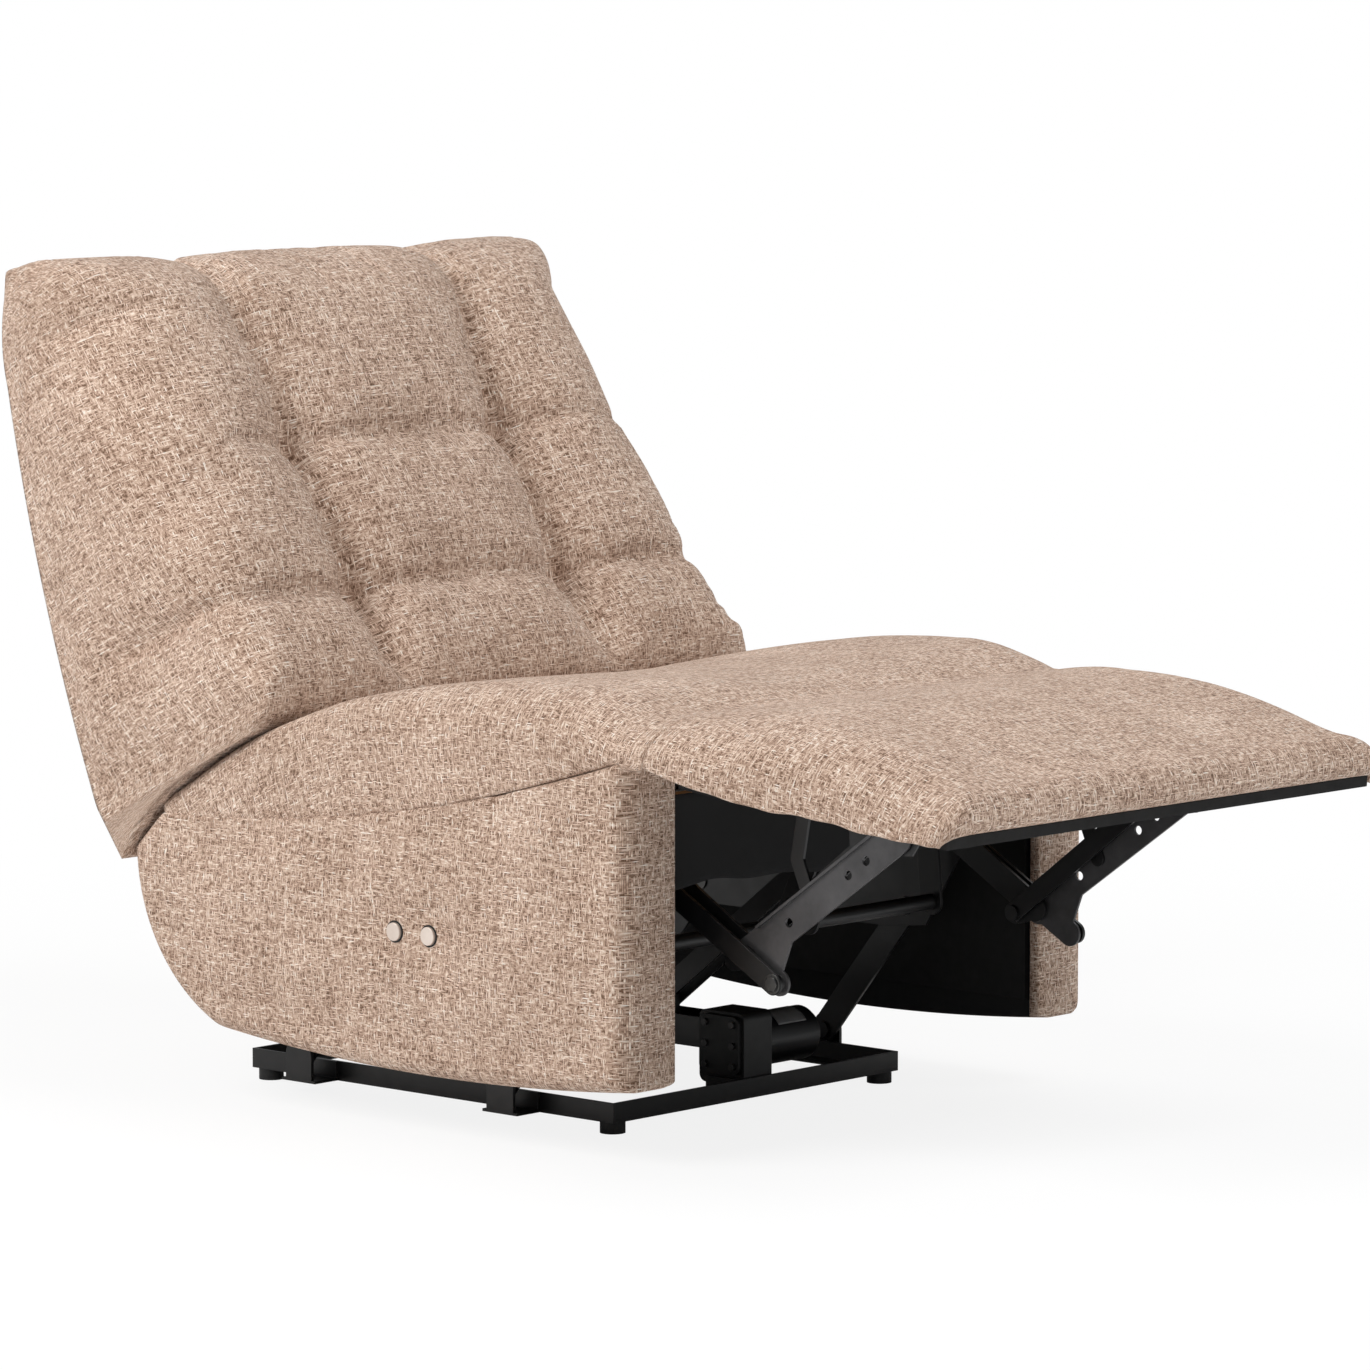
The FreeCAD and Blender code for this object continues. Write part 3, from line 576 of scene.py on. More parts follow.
def linear(colour):
    """An 8-bit display colour as linear values."""
    shares = [c / 255.0 for c in colour]
    return [s / 12.92 if s <= 0.04045 else ((s + 0.055) / 1.055) ** 2.4 for s in shares]


def tweed(name):
    """Uneven threads both ways: the paler one lies on top, dark where both are thin; painted shade darkens
    the gaps at the thread edges.
    """
    s = Shader(name)
    cloth = s.cloth_coordinates()
    u, v, _ = s.split(cloth)
    drift = s.grey(s.noise(cloth, 22.0, 1.0), -0.0009, 0.0009)
    drift_2 = s.grey(s.noise(s.join(v, u), 25.0, 1.0), -0.0009, 0.0009)
    warp = s.math("DIVIDE", s.add(u, drift), THREAD)
    weft = s.math("DIVIDE", s.add(v, drift_2), THREAD)
    warp_no = s.math("FLOOR", warp)
    weft_no = s.math("FLOOR", weft)
    warp_round = s.math("SINE", s.times(s.math("FRACT", warp), math.pi))
    weft_round = s.math("SINE", s.times(s.math("FRACT", weft), math.pi))
    warp_slub = s.noise(s.join(s.times(warp_no, 7.31), s.times(weft, 0.16)), 1.0, 1.0)
    weft_slub = s.noise(s.join(s.times(warp, 0.14), s.times(weft_no, 5.77), 3.0), 1.0, 1.0)
    weft_on_top = s.math("GREATER_THAN", weft_slub, warp_slub)
    warp_on_top = s.math("SUBTRACT", 1.0, weft_on_top)
    slub = s.math("MAXIMUM", weft_slub, warp_slub)
    height = s.add(s.times(weft_on_top, weft_round), s.times(warp_on_top, warp_round))
    fleck = s.noise(cloth, 620.0, 2.0)
    warp_line = s.noise(s.join(s.times(warp_no, 9.13), s.times(weft, 0.012), 5.0), 1.0, 0.0)
    weft_line = s.noise(s.join(s.times(warp, 0.012), s.times(weft_no, 8.37), 9.0), 1.0, 0.0)
    line = s.add(s.times(weft_on_top, weft_line), s.times(warp_on_top, warp_line))
    tone = s.add(s.add(s.times(slub, 0.67), s.times(fleck, 0.12)), s.times(line, 0.21))
    yarn = s.ramp(tone, [
        (0.43, (122, 94, 75)),
        (0.495, (186, 156, 136)),
        (0.565, (221, 194, 174)),
        (0.63, (246, 226, 209)),
        (0.69, (255, 248, 239)),
    ])
    # Painted shade: the colour darkens towards the gaps between threads, where the rounded thread height
    # falls to zero.
    painted_gap_shade = s.ramp(height, [(0.0, (132, 106, 90)), (0.5, (255, 255, 255))])
    patch = s.ramp(s.noise(cloth, 9.0, 3.0), [(0.3, (240, 238, 236)), (0.7, (255, 255, 255))])
    colour = s.mix(1.0, s.mix(1.0, yarn, painted_gap_shade, "MULTIPLY"), patch, "MULTIPLY")
    s.set(Base_Color=colour, Roughness=0.92)
    s.surface.inputs["Sheen Weight"].default_value = 0.1
    s.surface.inputs["Sheen Roughness"].default_value = 0.5
    s.surface.inputs["Specular IOR Level"].default_value = 0.2
    thick = s.add(s.times(height, 0.7), s.times(slub, 1.6))
    s.bump(thick, 0.55, 0.0012)
    return s.material


def edge_soften(s, radius):
    """Rounds the look of sheet-metal edges."""
    node = s.tree.nodes.new("ShaderNodeBevel")
    node.samples = 4
    node.inputs["Radius"].default_value = radius
    return node.outputs[0]


def painted(name, dark, pale, rough, metal=0.0, edge=0.0008, grain=600.0, bump=0.08):
    """Hard surfaces: two close tones, uneven gloss, fine grain and softened edges."""
    s = Shader(name)
    where = s.place_coordinates()
    wear = s.noise(where, 14.0, 6.0, 0.65)
    colour = s.ramp(wear, [(0.35, dark), (0.75, pale)])
    gloss = s.grey(s.noise(where, 60.0, 4.0, 0.6), rough - 0.1, rough + 0.14)
    s.set(Base_Color=colour, Roughness=gloss)
    s.surface.inputs["Metallic"].default_value = metal
    node = s.bump(s.noise(where, grain, 3.0), bump, 0.0006)
    s.link(edge_soften(s, edge), node.inputs["Normal"])
    return s.material


def strapping(name, dark, pale, pitch):
    """Woven bands: ribs along the band and across it, with painted shade darkening their low parts."""
    s = Shader(name)
    x, y, z = s.split(s.place_coordinates())
    ribs = s.math("SINE", s.times(x, 2.0 * math.pi / pitch))
    picks = s.math("SINE", s.times(s.add(y, z), 2.0 * math.pi / (0.7 * pitch)))
    height = s.grey(s.times(ribs, picks), 0.5, 1.0)
    # Painted shade: the colour follows the weave relief, darker in its low parts.
    colour = s.ramp(height, [(0.1, dark), (0.9, pale)])
    s.set(Base_Color=colour, Roughness=0.9)
    s.bump(height, 0.5, 0.0008)
    return s.material


def wood(name):
    """Plain frame timber with its grain along X."""
    s = Shader(name)
    x, y, z = s.split(s.place_coordinates())
    rings = s.noise(s.join(s.times(x, 2.0), s.times(y, 40.0), s.times(z, 40.0)), 2.0, 6.0, 0.6)
    colour = s.ramp(rings, [(0.3, (150, 112, 72)), (0.5, (184, 146, 100)), (0.7, (206, 172, 128))])
    s.set(Base_Color=colour, Roughness=s.grey(rings, 0.55, 0.8))
    s.bump(rings, 0.25, 0.0006)
    return s.material


MATERIALS = {
    "tweed": tweed("tweed"),
    "black_cloth": strapping("black_cloth", (8, 8, 9), (17, 17, 18), 0.0016),
    "webbing": strapping("webbing", (58, 52, 46), (104, 94, 84), 0.004),
    "dark_board": painted("dark_board", (7, 7, 7), (14, 13, 13), 0.8, grain=900.0, bump=0.2),
    "frame_wood": wood("frame_wood"),
    "black_steel": painted("black_steel", (9, 9, 10), (18, 18, 19), 0.36),
    "grey_steel": painted("grey_steel", (70, 69, 70), (98, 97, 98), 0.36, metal=0.5),
    "zinc_steel": painted("zinc_steel", (46, 45, 46), (92, 92, 90), 0.34, metal=0.8),
    "black_plastic": painted("black_plastic", (10, 10, 10), (17, 17, 18), 0.5, grain=1500.0, bump=0.15),
    "motor_steel": painted("motor_steel", (12, 12, 13), (22, 22, 24), 0.32, metal=0.2),
    "plate_metal": painted("plate_metal", (104, 104, 104), (136, 136, 136), 0.45, metal=0.3),
    "bumper_rubber": painted("bumper_rubber", (15, 15, 15), (23, 23, 23), 0.8),
    "button_metal": painted("button_metal", (206, 190, 178), (232, 220, 210), 0.42, metal=0.5, grain=2200.0),
}

for part in frame["record"]["subparts"]:
    node = frame["nodes"][part["node"]]
    node.data.materials.clear()
    node.data.materials.append(MATERIALS[part["material_slot"]])


def build_back():
    """Three by three pillows sewn between two upright and two level seams."""
    middle = outline(BACK_LOW_EDGE, BACK_STEPS)
    edge = outline(BACK_LOW_EDGE, BACK_EDGE_STEPS)
    run = lengths(middle)
    total = run[-1]
    front_foot = length_at(middle, BACK_FRONT_FOOT)
    front_top = length_at(middle, BACK_FRONT_TOP)
    stops = [0.0, (front_foot - 60.0) / total, front_top / total, 1.0]

    def share_of_edge(t):
        return np.interp(t, stops, [0.0, 0.07, 0.84, 1.0])

    def radius_of(t):
        places = [0.0, front_foot - 40.0, front_foot + 20.0, front_top, front_top + 80.0, total]
        return np.interp(t * total, places, [4.0, 5.0, 40.0, 128.0, 50.0, 6.0])

    grid, weave, at, forward = wrapped(
        middle, edge, share_of_edge, lambda t: BACK_HALF, radius_of, lambda t: 1.0, 5.0)
    normal = outward(grid)
    if normal[len(at) // 2, grid.shape[1] // 2, 1] > 0.0:
        normal = -normal
    x = np.abs(grid[:, :, 0])
    height = np.interp(at, run, middle[:, 1])[:, None] + 0.0 * x
    length = at[:, None] + 0.0 * x
    on_front = smooth(length, front_foot - 70.0, front_foot - 10.0)
    seam_x = TUFT_X + TUFT_SPREAD_AT_TOP * smooth(height, *TUFT_SPREAD_HEIGHTS)
    places = [front_foot - 60.0, front_foot, front_foot + 90.0, front_top - 190.0, front_top, total]
    upright_depth = np.interp(length, places, [12.0, 24.0, UPRIGHT_DEPTH, UPRIGHT_DEPTH, 20.0, 4.0])
    upright = upright_depth * np.clip(1.0 - np.abs(x - seam_x) / UPRIGHT_REACH, 0.0, 1.0) ** 3.2
    level = np.zeros_like(x)
    dimple = np.zeros_like(x)
    sewn = bell(x - seam_x, 8.0)
    crease = UPRIGHT_CREASE * fold(x - seam_x, 26.0) * upright_depth / UPRIGHT_DEPTH
    for z, depths in zip(TUFT_HEIGHTS, LEVEL_DEPTHS):
        seam_at = np.interp(z, middle[:, 1][run < front_top], run[run < front_top])
        away = np.abs(length - seam_at)
        level_depth = np.interp(x, LEVEL_X, depths) * smooth(forward, 0.3, 0.62)
        level = np.maximum(level, level_depth * np.clip(1.0 - away / LEVEL_REACH, 0.0, 1.0) ** 2.6)
        across = np.hypot(x - seam_x, away)
        dimple += 11.0 * bell(across, 42.0) + 9.0 * bell(across, 16.0)
        stitched = smooth(np.interp(x, LEVEL_X, depths), 1.0, 6.0) * smooth(forward, 0.25, 0.5)
        crease = np.maximum(crease, LEVEL_CREASE * fold(away, 22.0) * stitched)
        sewn = np.maximum(sewn, 0.9 * bell(away, 8.0) * stitched)
    soft = 1.6 * sag_noise(weave[:, :, 0], weave[:, :, 1], 190.0, 11)
    valley = np.sqrt(upright ** 2 + level ** 2) + dimple
    gather = np.sin(length * 2.0 * math.pi / 29.0 + 2.0 * np.sin(length / 31.0)) * smooth(x, 330.0, 390.0)
    gather *= 1.3 * smooth(forward, 0.45, 0.9) * (1.0 - smooth(length, front_foot - 40.0, front_foot + 90.0))
    pressed = valley * on_front - gather - soft * on_front * smooth(forward, 0.0, 0.3)
    grid = grid - normal * pressed[:, :, None]
    ear = bell(away_from(x, grid, BACK_HALF, BACK_TOP_EDGE), 16.0)
    grid[:, :, 0] += np.sign(grid[:, :, 0]) * 3.0 * ear
    grid[:, :, 2] += 7.0 * ear
    obj = grid_object("back_cushion_cover", grid, weave)
    held = np.maximum(sewn, 1.0 - smooth(length, front_foot - 60.0, front_foot - 20.0))
    held = np.maximum(held, 1.0 - smooth(forward, 0.0, 0.08))
    held = np.maximum(held, smooth(length, total - 30.0, total - 8.0))
    inflate(obj, held.reshape(-1), 4.0, 0.012)
    grid = refine(shape_of(obj, grid))
    bpy.data.objects.remove(obj)
    normal = outward(grid)
    grid = grid - normal * refine(crease * on_front)[:, :, None]
    obj = grid_object("back_cushion_cover", grid, refine(weave))
    close(obj, grid, refine(forward))
    finish_soft(obj, "back", "back_cushion", 0)


def build_back_cover():
    """The outside of the back: one flat piece sewn to the front cloth along its edge."""
    edge = outline(BACK_LOW_EDGE, BACK_EDGE_STEPS)
    total = lengths(edge)[-1]
    rows = int(total / 12.0)
    cols = 61
    at = np.linspace(0.0, total, rows)
    line = along(edge, at)
    grid = np.zeros((rows, cols, 3))
    weave = np.zeros((rows, cols, 2))
    x = np.linspace(-BACK_HALF, BACK_HALF, cols)
    swell = (1.0 - (x / BACK_HALF) ** 4)[None, :] * np.sin(np.pi * at / total)[:, None] ** 0.5
    grid[:, :, 0] = x[None, :]
    grid[:, :, 1] = line[:, :1] + 5.0 * swell
    grid[:, :, 2] = line[:, 1:]
    weave[:, :, 0] = x[None, :]
    weave[:, :, 1] = at[:, None]
    obj = grid_object("back_outside_cover", grid, weave)
    thicken(obj, BACK_OUTSIDE_THICKNESS, 1.0)
    finish_soft(obj, "back", "back_outside_panel")


def build_seat():
    """A domed cushion, a little hollow in the middle, sewn to the side panels."""
    middle = outline(JOINT_FOOT, SEAT_STEPS)
    edge = outline(JOINT_FOOT, SEAT_EDGE_STEPS)
    total = lengths(middle)[-1]
    tip = math.dist(JOINT_FOOT, JOINT_TOP)
    first = tip / total

    def share_of_edge(t):
        return np.interp(t, [0.0, first, 0.98, 1.0], [0.0, 0.0, 0.985, 1.0])

    def radius_of(t):
        places = [0.0, first, first + 0.12, 0.45, 0.62, 1.0]
        return np.interp(t, places, [JOINT_RADIUS, JOINT_RADIUS, 58.0, 58.0, 16.0, 9.0])

    def spread_of(t):
        return np.interp(t, [0.0, first, first + 0.2, 1.0], [JOINT_SPREAD, JOINT_SPREAD, 1.2, 1.0])

    def half_of(t):
        return np.interp(t, [0.0, first, first + 0.2, 1.0], [JOINT_HALF, JOINT_HALF, SEAT_HALF, SEAT_HALF])

    grid, weave, at, forward = wrapped(middle, edge, share_of_edge, half_of, radius_of, spread_of, 2.0)
    length = at[:, None] + 0.0 * forward
    x = np.abs(grid[:, :, 0])
    top = smooth(forward, 0.6, 1.0)
    hollow = SEAT_HOLLOW * np.clip(1.0 - (x / SEAT_HOLLOW_HALF) ** 2, 0.0, 1.0) ** 2
    hollow *= smooth(length, tip + 20.0, tip + 150.0) * (1.0 - smooth(length, total - 330.0, total - 130.0))
    soft = 1.3 * sag_noise(weave[:, :, 0], weave[:, :, 1], 230.0, 5) * smooth(forward, 0.1, 0.6)
    soft *= smooth(length, tip, tip + 60.0) * (1.0 - smooth(length, total - 90.0, total - 20.0))
    grid[:, :, 2] += soft - hollow * top
    tuck = (1.0 - smooth(forward, 0.0, 0.12)) * smooth(length, tip, tip + 40.0)
    grid[:, :, 0] -= np.sign(grid[:, :, 0]) * 2.6 * tuck
    obj = grid_object("seat_cushion_cover", grid, weave)
    held = np.maximum(1.0 - smooth(forward, 0.0, 0.15), 1.0 - smooth(length, tip + 8.0, tip + 70.0))
    held = np.maximum(held, smooth(length, total - 120.0, total - 30.0))
    inflate(obj, held.reshape(-1), 2.5, 0.008)

    def link_room(points):
        beside = bell(np.abs(points[:, :, 0]) - RECLINE_LINK_X, 24.0)
        y = points[:, :, 1]
        return RECLINE_LINK_ROOM * beside * smooth(y, 280.0, 400.0) * (1.0 - smooth(y, 640.0, 685.0))

    close(obj, grid, forward, link_room)
    finish_soft(obj, "seat", "seat_cushion")


def build_pad():
    """The footrest pad, its cloth drawn down round the edge of the board."""
    middle = outline(PAD_START, PAD_STEPS)
    edge = outline(JOINT_FOOT, PAD_EDGE_STEPS)
    total = lengths(middle)[-1]
    tip = length_at(middle, JOINT_TOP)
    first = tip / total

    def share_of_edge(t):
        return np.interp(t, [0.0, first, 0.9, 1.0], [0.0, 0.0, 0.985, 1.0])

    def radius_of(t):
        return np.interp(t, [0.0, first, 0.3, 0.8, 1.0], [12.0, JOINT_RADIUS, 66.0, 66.0, 14.0])

    def spread_of(t):
        return np.interp(t, [0.0, first, 0.5, 1.0], [1.0, JOINT_SPREAD, 1.3, 1.1])

    def half_of(t):
        return np.interp(t, [0.0, first, 0.5, 1.0], [JOINT_HALF, JOINT_HALF, PAD_HALF, PAD_HALF])

    grid, weave, at, forward = wrapped(middle, edge, share_of_edge, half_of, radius_of, spread_of, 2.0)
    length = at[:, None] + 0.0 * forward
    soft = 1.2 * sag_noise(weave[:, :, 0], weave[:, :, 1], 210.0, 8) * smooth(forward, 0.1, 0.6)
    soft *= smooth(length, tip, tip + 70.0) * (1.0 - smooth(length, total - 60.0, total - 10.0))
    grid[:, :, 2] += soft
    x = np.abs(grid[:, :, 0])
    corner = away_from(x, grid, PAD_HALF, PAD_EAR)
    pleat = 1.6 * np.sin(weave[:, :, 1] * 2.0 * math.pi / 17.0) * bell(corner, 55.0)
    grid[:, :, 0] += np.sign(grid[:, :, 0]) * (pleat + 3.0 * bell(corner, 26.0))
    grid[:, :, 2] -= 2.5 * bell(corner, 26.0)
    tip_round = bell(away_from(x, grid, PAD_HALF, PAD_TIP), 13.0)
    grid[:, :, 0] -= np.sign(grid[:, :, 0]) * 8.0 * tip_round
    grid[:, :, 1] += 4.0 * tip_round
    grid[:, :, 2] += 4.0 * tip_round
    hem = 1.5 * np.sin(grid[:, :, 1] / 23.0) + 1.0 * np.sin(grid[:, :, 1] / 9.0 + 1.0)
    grid[:, :, 2] += hem * (1.0 - smooth(forward, 0.0, 0.25)) * smooth(length, tip + 40.0, tip + 120.0)
    obj = grid_object("footrest_pad_cover", grid, weave)
    held = np.maximum(1.0 - smooth(forward, 0.0, 0.15), 1.0 - smooth(length, tip + 8.0, tip + 70.0))
    held = np.maximum(held, smooth(length, total - 30.0, total - 5.0))
    inflate(obj, held.reshape(-1), 2.5, 0.006)
    close(obj, grid, forward)
    finish_soft(obj, "footrest", "footrest_pad")


def corner_drop(distance, radius):
    """How far a rounded edge falls back at a distance from the outline."""
    inside = np.clip(radius - distance, 0.0, radius)
    return radius - np.sqrt(np.maximum(radius ** 2 - inside ** 2, 0.0))


def distance_to(line, y, z):
    """Distance of plan points from a line."""
    points = np.stack([y.reshape(-1), z.reshape(-1)], axis=1)
    nearest = np.full(len(points), 1e9)
    for a, b in zip(line[:-1], line[1:]):
        run = b - a
        t = np.clip(((points - a) @ run) / max(run @ run, 1e-9), 0.0, 1.0)
        nearest = np.minimum(nearest, np.linalg.norm(points - a - t[:, None] * run, axis=1))
    return nearest.reshape(y.shape)


def build_panel(side):
    """One side panel: a padded outer face, rounded edges, and cloth wrapped round the front."""
    whole = outline(PANEL_FRONT_FOOT, PANEL_STEPS)
    top_from = np.argmin(np.hypot(whole[:, 0] - PANEL_FRONT_TOP[0], whole[:, 1] - PANEL_FRONT_TOP[1]))
    tip = np.argmax(whole[:, 0])
    top_line = whole[top_from:tip + 1]
    low_line = whole[tip:][::-1]
    front_line = whole[:top_from + 1]
    rows = 96
    cols = 60
    ease = 0.5 - 0.5 * np.cos(np.linspace(0.0, np.pi, rows))
    stations = PANEL_LENGTH * (0.35 * ease + 0.65 * np.linspace(0.0, 1.0, rows))
    ease = 0.5 - 0.5 * np.cos(np.linspace(0.0, np.pi, cols))
    share = 0.45 * ease + 0.55 * np.linspace(0.0, 1.0, cols)
    top = np.interp(stations, top_line[:, 0], top_line[:, 1])
    low = np.interp(stations, low_line[:, 0], low_line[:, 1])
    y = stations[:, None] + 0.0 * share[None, :]
    z = low[:, None] + (top - low)[:, None] * share[None, :]
    to_top = distance_to(top_line, y, z)
    to_low = np.minimum(distance_to(low_line, y, z), distance_to(front_line, y, z))
    drop = np.maximum(corner_drop(to_top, PANEL_SEAM_RADIUS), corner_drop(to_low, PANEL_EDGE_RADIUS))
    swell = PANEL_SWELL * smooth(np.minimum(to_top * 1.6, to_low), 0.0, 150.0)
    creases = np.zeros_like(y)
    for crease_y, slant, depth, width, fade_low, fade_high in PANEL_CREASES:
        beside = y - crease_y + slant * (z - CREASE_MIDDLE_Z)
        creases += depth * bell(beside, width) * smooth(z, fade_low, fade_high)
    soft = 0.9 * sag_noise(y, z, 210.0, 3 + side) * smooth(to_low, 5.0, 80.0)
    x = PANEL_OUTER_X - drop + swell - creases + soft
    if side < 0:
        for button in BUTTONS:
            away = np.hypot(y - button[0], z - button[1])
            around = np.minimum(x, BUTTON_FACE_X + 6.0 * smooth(away, 13.0, 55.0))
            x = np.where(away < 60.0, around, x)
    face = np.stack([side * x, y, z], axis=2)
    obj = grid_object("side_panel_cover_" + side_name(side), face, np.stack([y, z], axis=2))
    held = np.maximum(1.0 - smooth(to_top, 8.0, 40.0), 1.0 - smooth(to_low, 20.0, 60.0))
    for button in BUTTONS:
        held = np.maximum(held, 1.0 - smooth(np.hypot(y - button[0], z - button[1]), 14.0, 50.0))
    inflate(obj, held.reshape(-1), 1.5, 0.004)
    add_rim(obj, side, face)
    finish_soft(obj, "seat", "side_padding_" + side_name(side))
    obj.data.materials.append(MATERIALS["black_cloth"])
    for polygon in obj.data.polygons:
        inside = abs(polygon.center.x) < (PANEL_INNER_X + 0.5) * MM
        polygon.material_index = 1 if inside and polygon.center.y > FRONT_Y + 0.03 else 0


def add_rim(obj, side, face):
    """Carries the panel's cloth from its outer face over the edges to the board."""
    rows, cols = face.shape[:2]
    loop = [face[r, 0] for r in range(rows)]
    loop += [face[rows - 1, c] for c in range(1, cols)]
    loop += [face[r, cols - 1] for r in range(rows - 2, -1, -1)]
    loop += [face[0, c] for c in range(cols - 2, -1, -1)]
    loop = np.array(loop)
    depth = np.linspace(0.0, 1.0, 9)
    rim = np.zeros((len(depth) + 2, len(loop), 3))
    weave = np.zeros((len(depth) + 2, len(loop), 2))
    direction = np.roll(loop, -1, axis=0) - np.roll(loop, 1, axis=0)
    out = np.stack([-direction[:, 2], direction[:, 1]], axis=1)
    out /= np.maximum(np.linalg.norm(out, axis=1, keepdims=True), 1e-6)
    if ((loop[:, 1:] - loop[:, 1:].mean(axis=0)) * out).sum() < 0.0:
        out = -out
    front = (loop[:, 1] < 1.0) & (loop[:, 2] > 79.5) & (loop[:, 2] < 430.0)
    inner = np.where(front, PANEL_WRAP_X, PANEL_INNER_X)
    for k, t in enumerate(depth):
        x = np.abs(loop[:, 0]) + (inner - np.abs(loop[:, 0])) * t
        belly = 2.5 * math.sin(math.pi * t) * front
        rim[k, :, 0] = side * x
        rim[k, :, 1] = loop[:, 1] + out[:, 0] * belly
        rim[k, :, 2] = loop[:, 2] + out[:, 1] * belly
        weave[k] = loop[:, 1:] + out * (np.abs(loop[:, 0]) - x)[:, None]
    for k, back in ((len(depth), 3.0), (len(depth) + 1, 20.0)):
        rim[k] = rim[len(depth) - 1]
        rim[k, :, 1] += np.where(front, back, 0.0)
        rim[k, :, 0] -= side * np.where(front, 0.5, 0.0)
        weave[k] = weave[len(depth) - 1] + out * np.where(front, back, 0.0)[:, None]
    sew(obj, grid_object("rim", rim, weave))
    inner_face = face.copy()
    inner_face[:, :, 0] = side * PANEL_INNER_X
    for c in range(cols):
        inner_face[0, c] = rim[-1, np.argmin(np.linalg.norm(loop - face[0, c], axis=1))]
    sew(obj, grid_object("inner_face", inner_face, face[:, :, 1:]))


def build_apron():
    """Black cloth that hangs below the seat front."""
    low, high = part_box("seat_front_apron")
    rows, cols = 16, 120
    x = np.linspace(low.x, high.x, cols) / MM
    drop = np.linspace(0.0, 1.0, rows)
    z_top = high.z / MM
    z_low = low.z / MM + 3.0 * np.sin(x / 47.0) + 2.0 * np.sin(x / 19.0 + 1.0)
    y = APRON_Y + 2.2 * np.sin(x / 31.0)[None, :] * drop[:, None] ** 1.5
    grid = np.zeros((rows, cols, 3))
    grid[:, :, 0] = x[None, :]
    grid[:, :, 1] = y
    grid[:, :, 2] = z_top + (z_low - z_top)[None, :] * drop[:, None]
    weave = np.stack([grid[:, :, 0], grid[:, :, 2]], axis=2)
    obj = grid_object("seat_front_cloth", grid, weave, True)
    thicken(obj, APRON_THICKNESS)
    obj.data.materials.append(MATERIALS["black_cloth"])
    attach(obj, "seat")
    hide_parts("seat_front_apron")


def strap_y(z):
    """Front face of the leaning wooden back frame."""
    return BACK_FRAME_START[0] + math.tan(math.radians(BACK_FRAME_LEAN)) * (z - BACK_FRAME_START[1])


def band(line, across):
    """One flat strap along a line, a little cupped over its width."""
    at = np.linspace(-1.0, 1.0, 7)
    grid = line[:, None, :] + at[None, :, None] * STRAP_HALF * np.array(across)[None, None, :]
    cup = 0.5 * (at ** 2)[None, :]
    return grid, cup


def build_straps():
    """Webbing of the seat, front to back, and of the back, side to side."""
    bands = []
    profile = outline(SEAT_STRAP_START, SEAT_STRAP_STEPS)
    for strap_x in SEAT_STRAPS_X:
        line = np.column_stack([np.full(len(profile), strap_x), profile])
        grid, cup = band(line, (1.0, 0.0, 0.0))
        grid[:, :, 2] -= cup
        bands.append(grid)
    make_straps("seat_straps", bands, "seat", "seat_webbing")
    bands = []
    for strap_z in BACK_STRAPS_Z:
        x = np.linspace(-BACK_STRAP_HALF_LENGTH, BACK_STRAP_HALF_LENGTH, 50)
        line = np.column_stack([x, np.full(50, strap_y(strap_z) - 1.0), np.full(50, strap_z)])
        slope = math.tan(math.radians(BACK_FRAME_LEAN))
        grid, cup = band(line, (0.0, slope, 1.0))
        grid[:, :, 1] -= cup + 1.5 * np.cos(x / BACK_STRAP_HALF_LENGTH * math.pi / 2.0)[:, None]
        bands.append(grid)
    make_straps("back_straps", bands, "back", "back_webbing")


def make_straps(name, bands, body, node):
    """Joins the bands of one frame into a piece that stands for the webbing."""
    objects = [grid_object(name, grid, grid[:, :, :2]) for grid in bands]
    join(objects)
    straps = objects[0]
    thicken(straps, STRAP_THICKNESS, 0.0)
    straps.data.materials.append(MATERIALS["webbing"])
    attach(straps, body)
    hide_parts(node)


def build_bumpers():
    """Small rubber blocks with rounded corners and a domed top, one on each stop arm."""
    low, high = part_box("footrest_bumpers")
    half_y = (high.y - low.y) / 2.0
    angle = np.linspace(0.0, 2.0 * math.pi, 33)
    ring = np.stack([np.cos(angle), np.sin(angle)], axis=1)
    ring = np.sign(ring) * np.abs(ring) ** 0.45
    levels = ((0.0, 0.0), (0.0, 0.86), (0.08, 1.0), (0.66, 1.0), (0.86, 0.9), (0.96, 0.6), (1.0, 0.0))
    halves = []
    for side in (-1.0, 1.0):
        grid = np.zeros((len(levels), len(ring), 3))
        for k, (rise, scale) in enumerate(levels):
            grid[k, :, 0] = side * (high.x - BUMPER_HALF_X) + ring[:, 0] * BUMPER_HALF_X * scale
            grid[k, :, 1] = (low.y + high.y) / 2.0 - FRONT_Y + ring[:, 1] * half_y * scale
            grid[k, :, 2] = low.z + (high.z - low.z) * rise
        halves.append(grid_object("bumper_" + side_name(side), grid / MM, grid[:, :, :2]))
    sew(halves[0], halves[1])
    bumpers = halves[0]
    bumpers.name = "stop_bumpers"
    subdivide(bumpers, 1)
    bumpers.data.materials.append(MATERIALS["bumper_rubber"])
    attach(bumpers, "channel")
    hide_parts("footrest_bumpers")


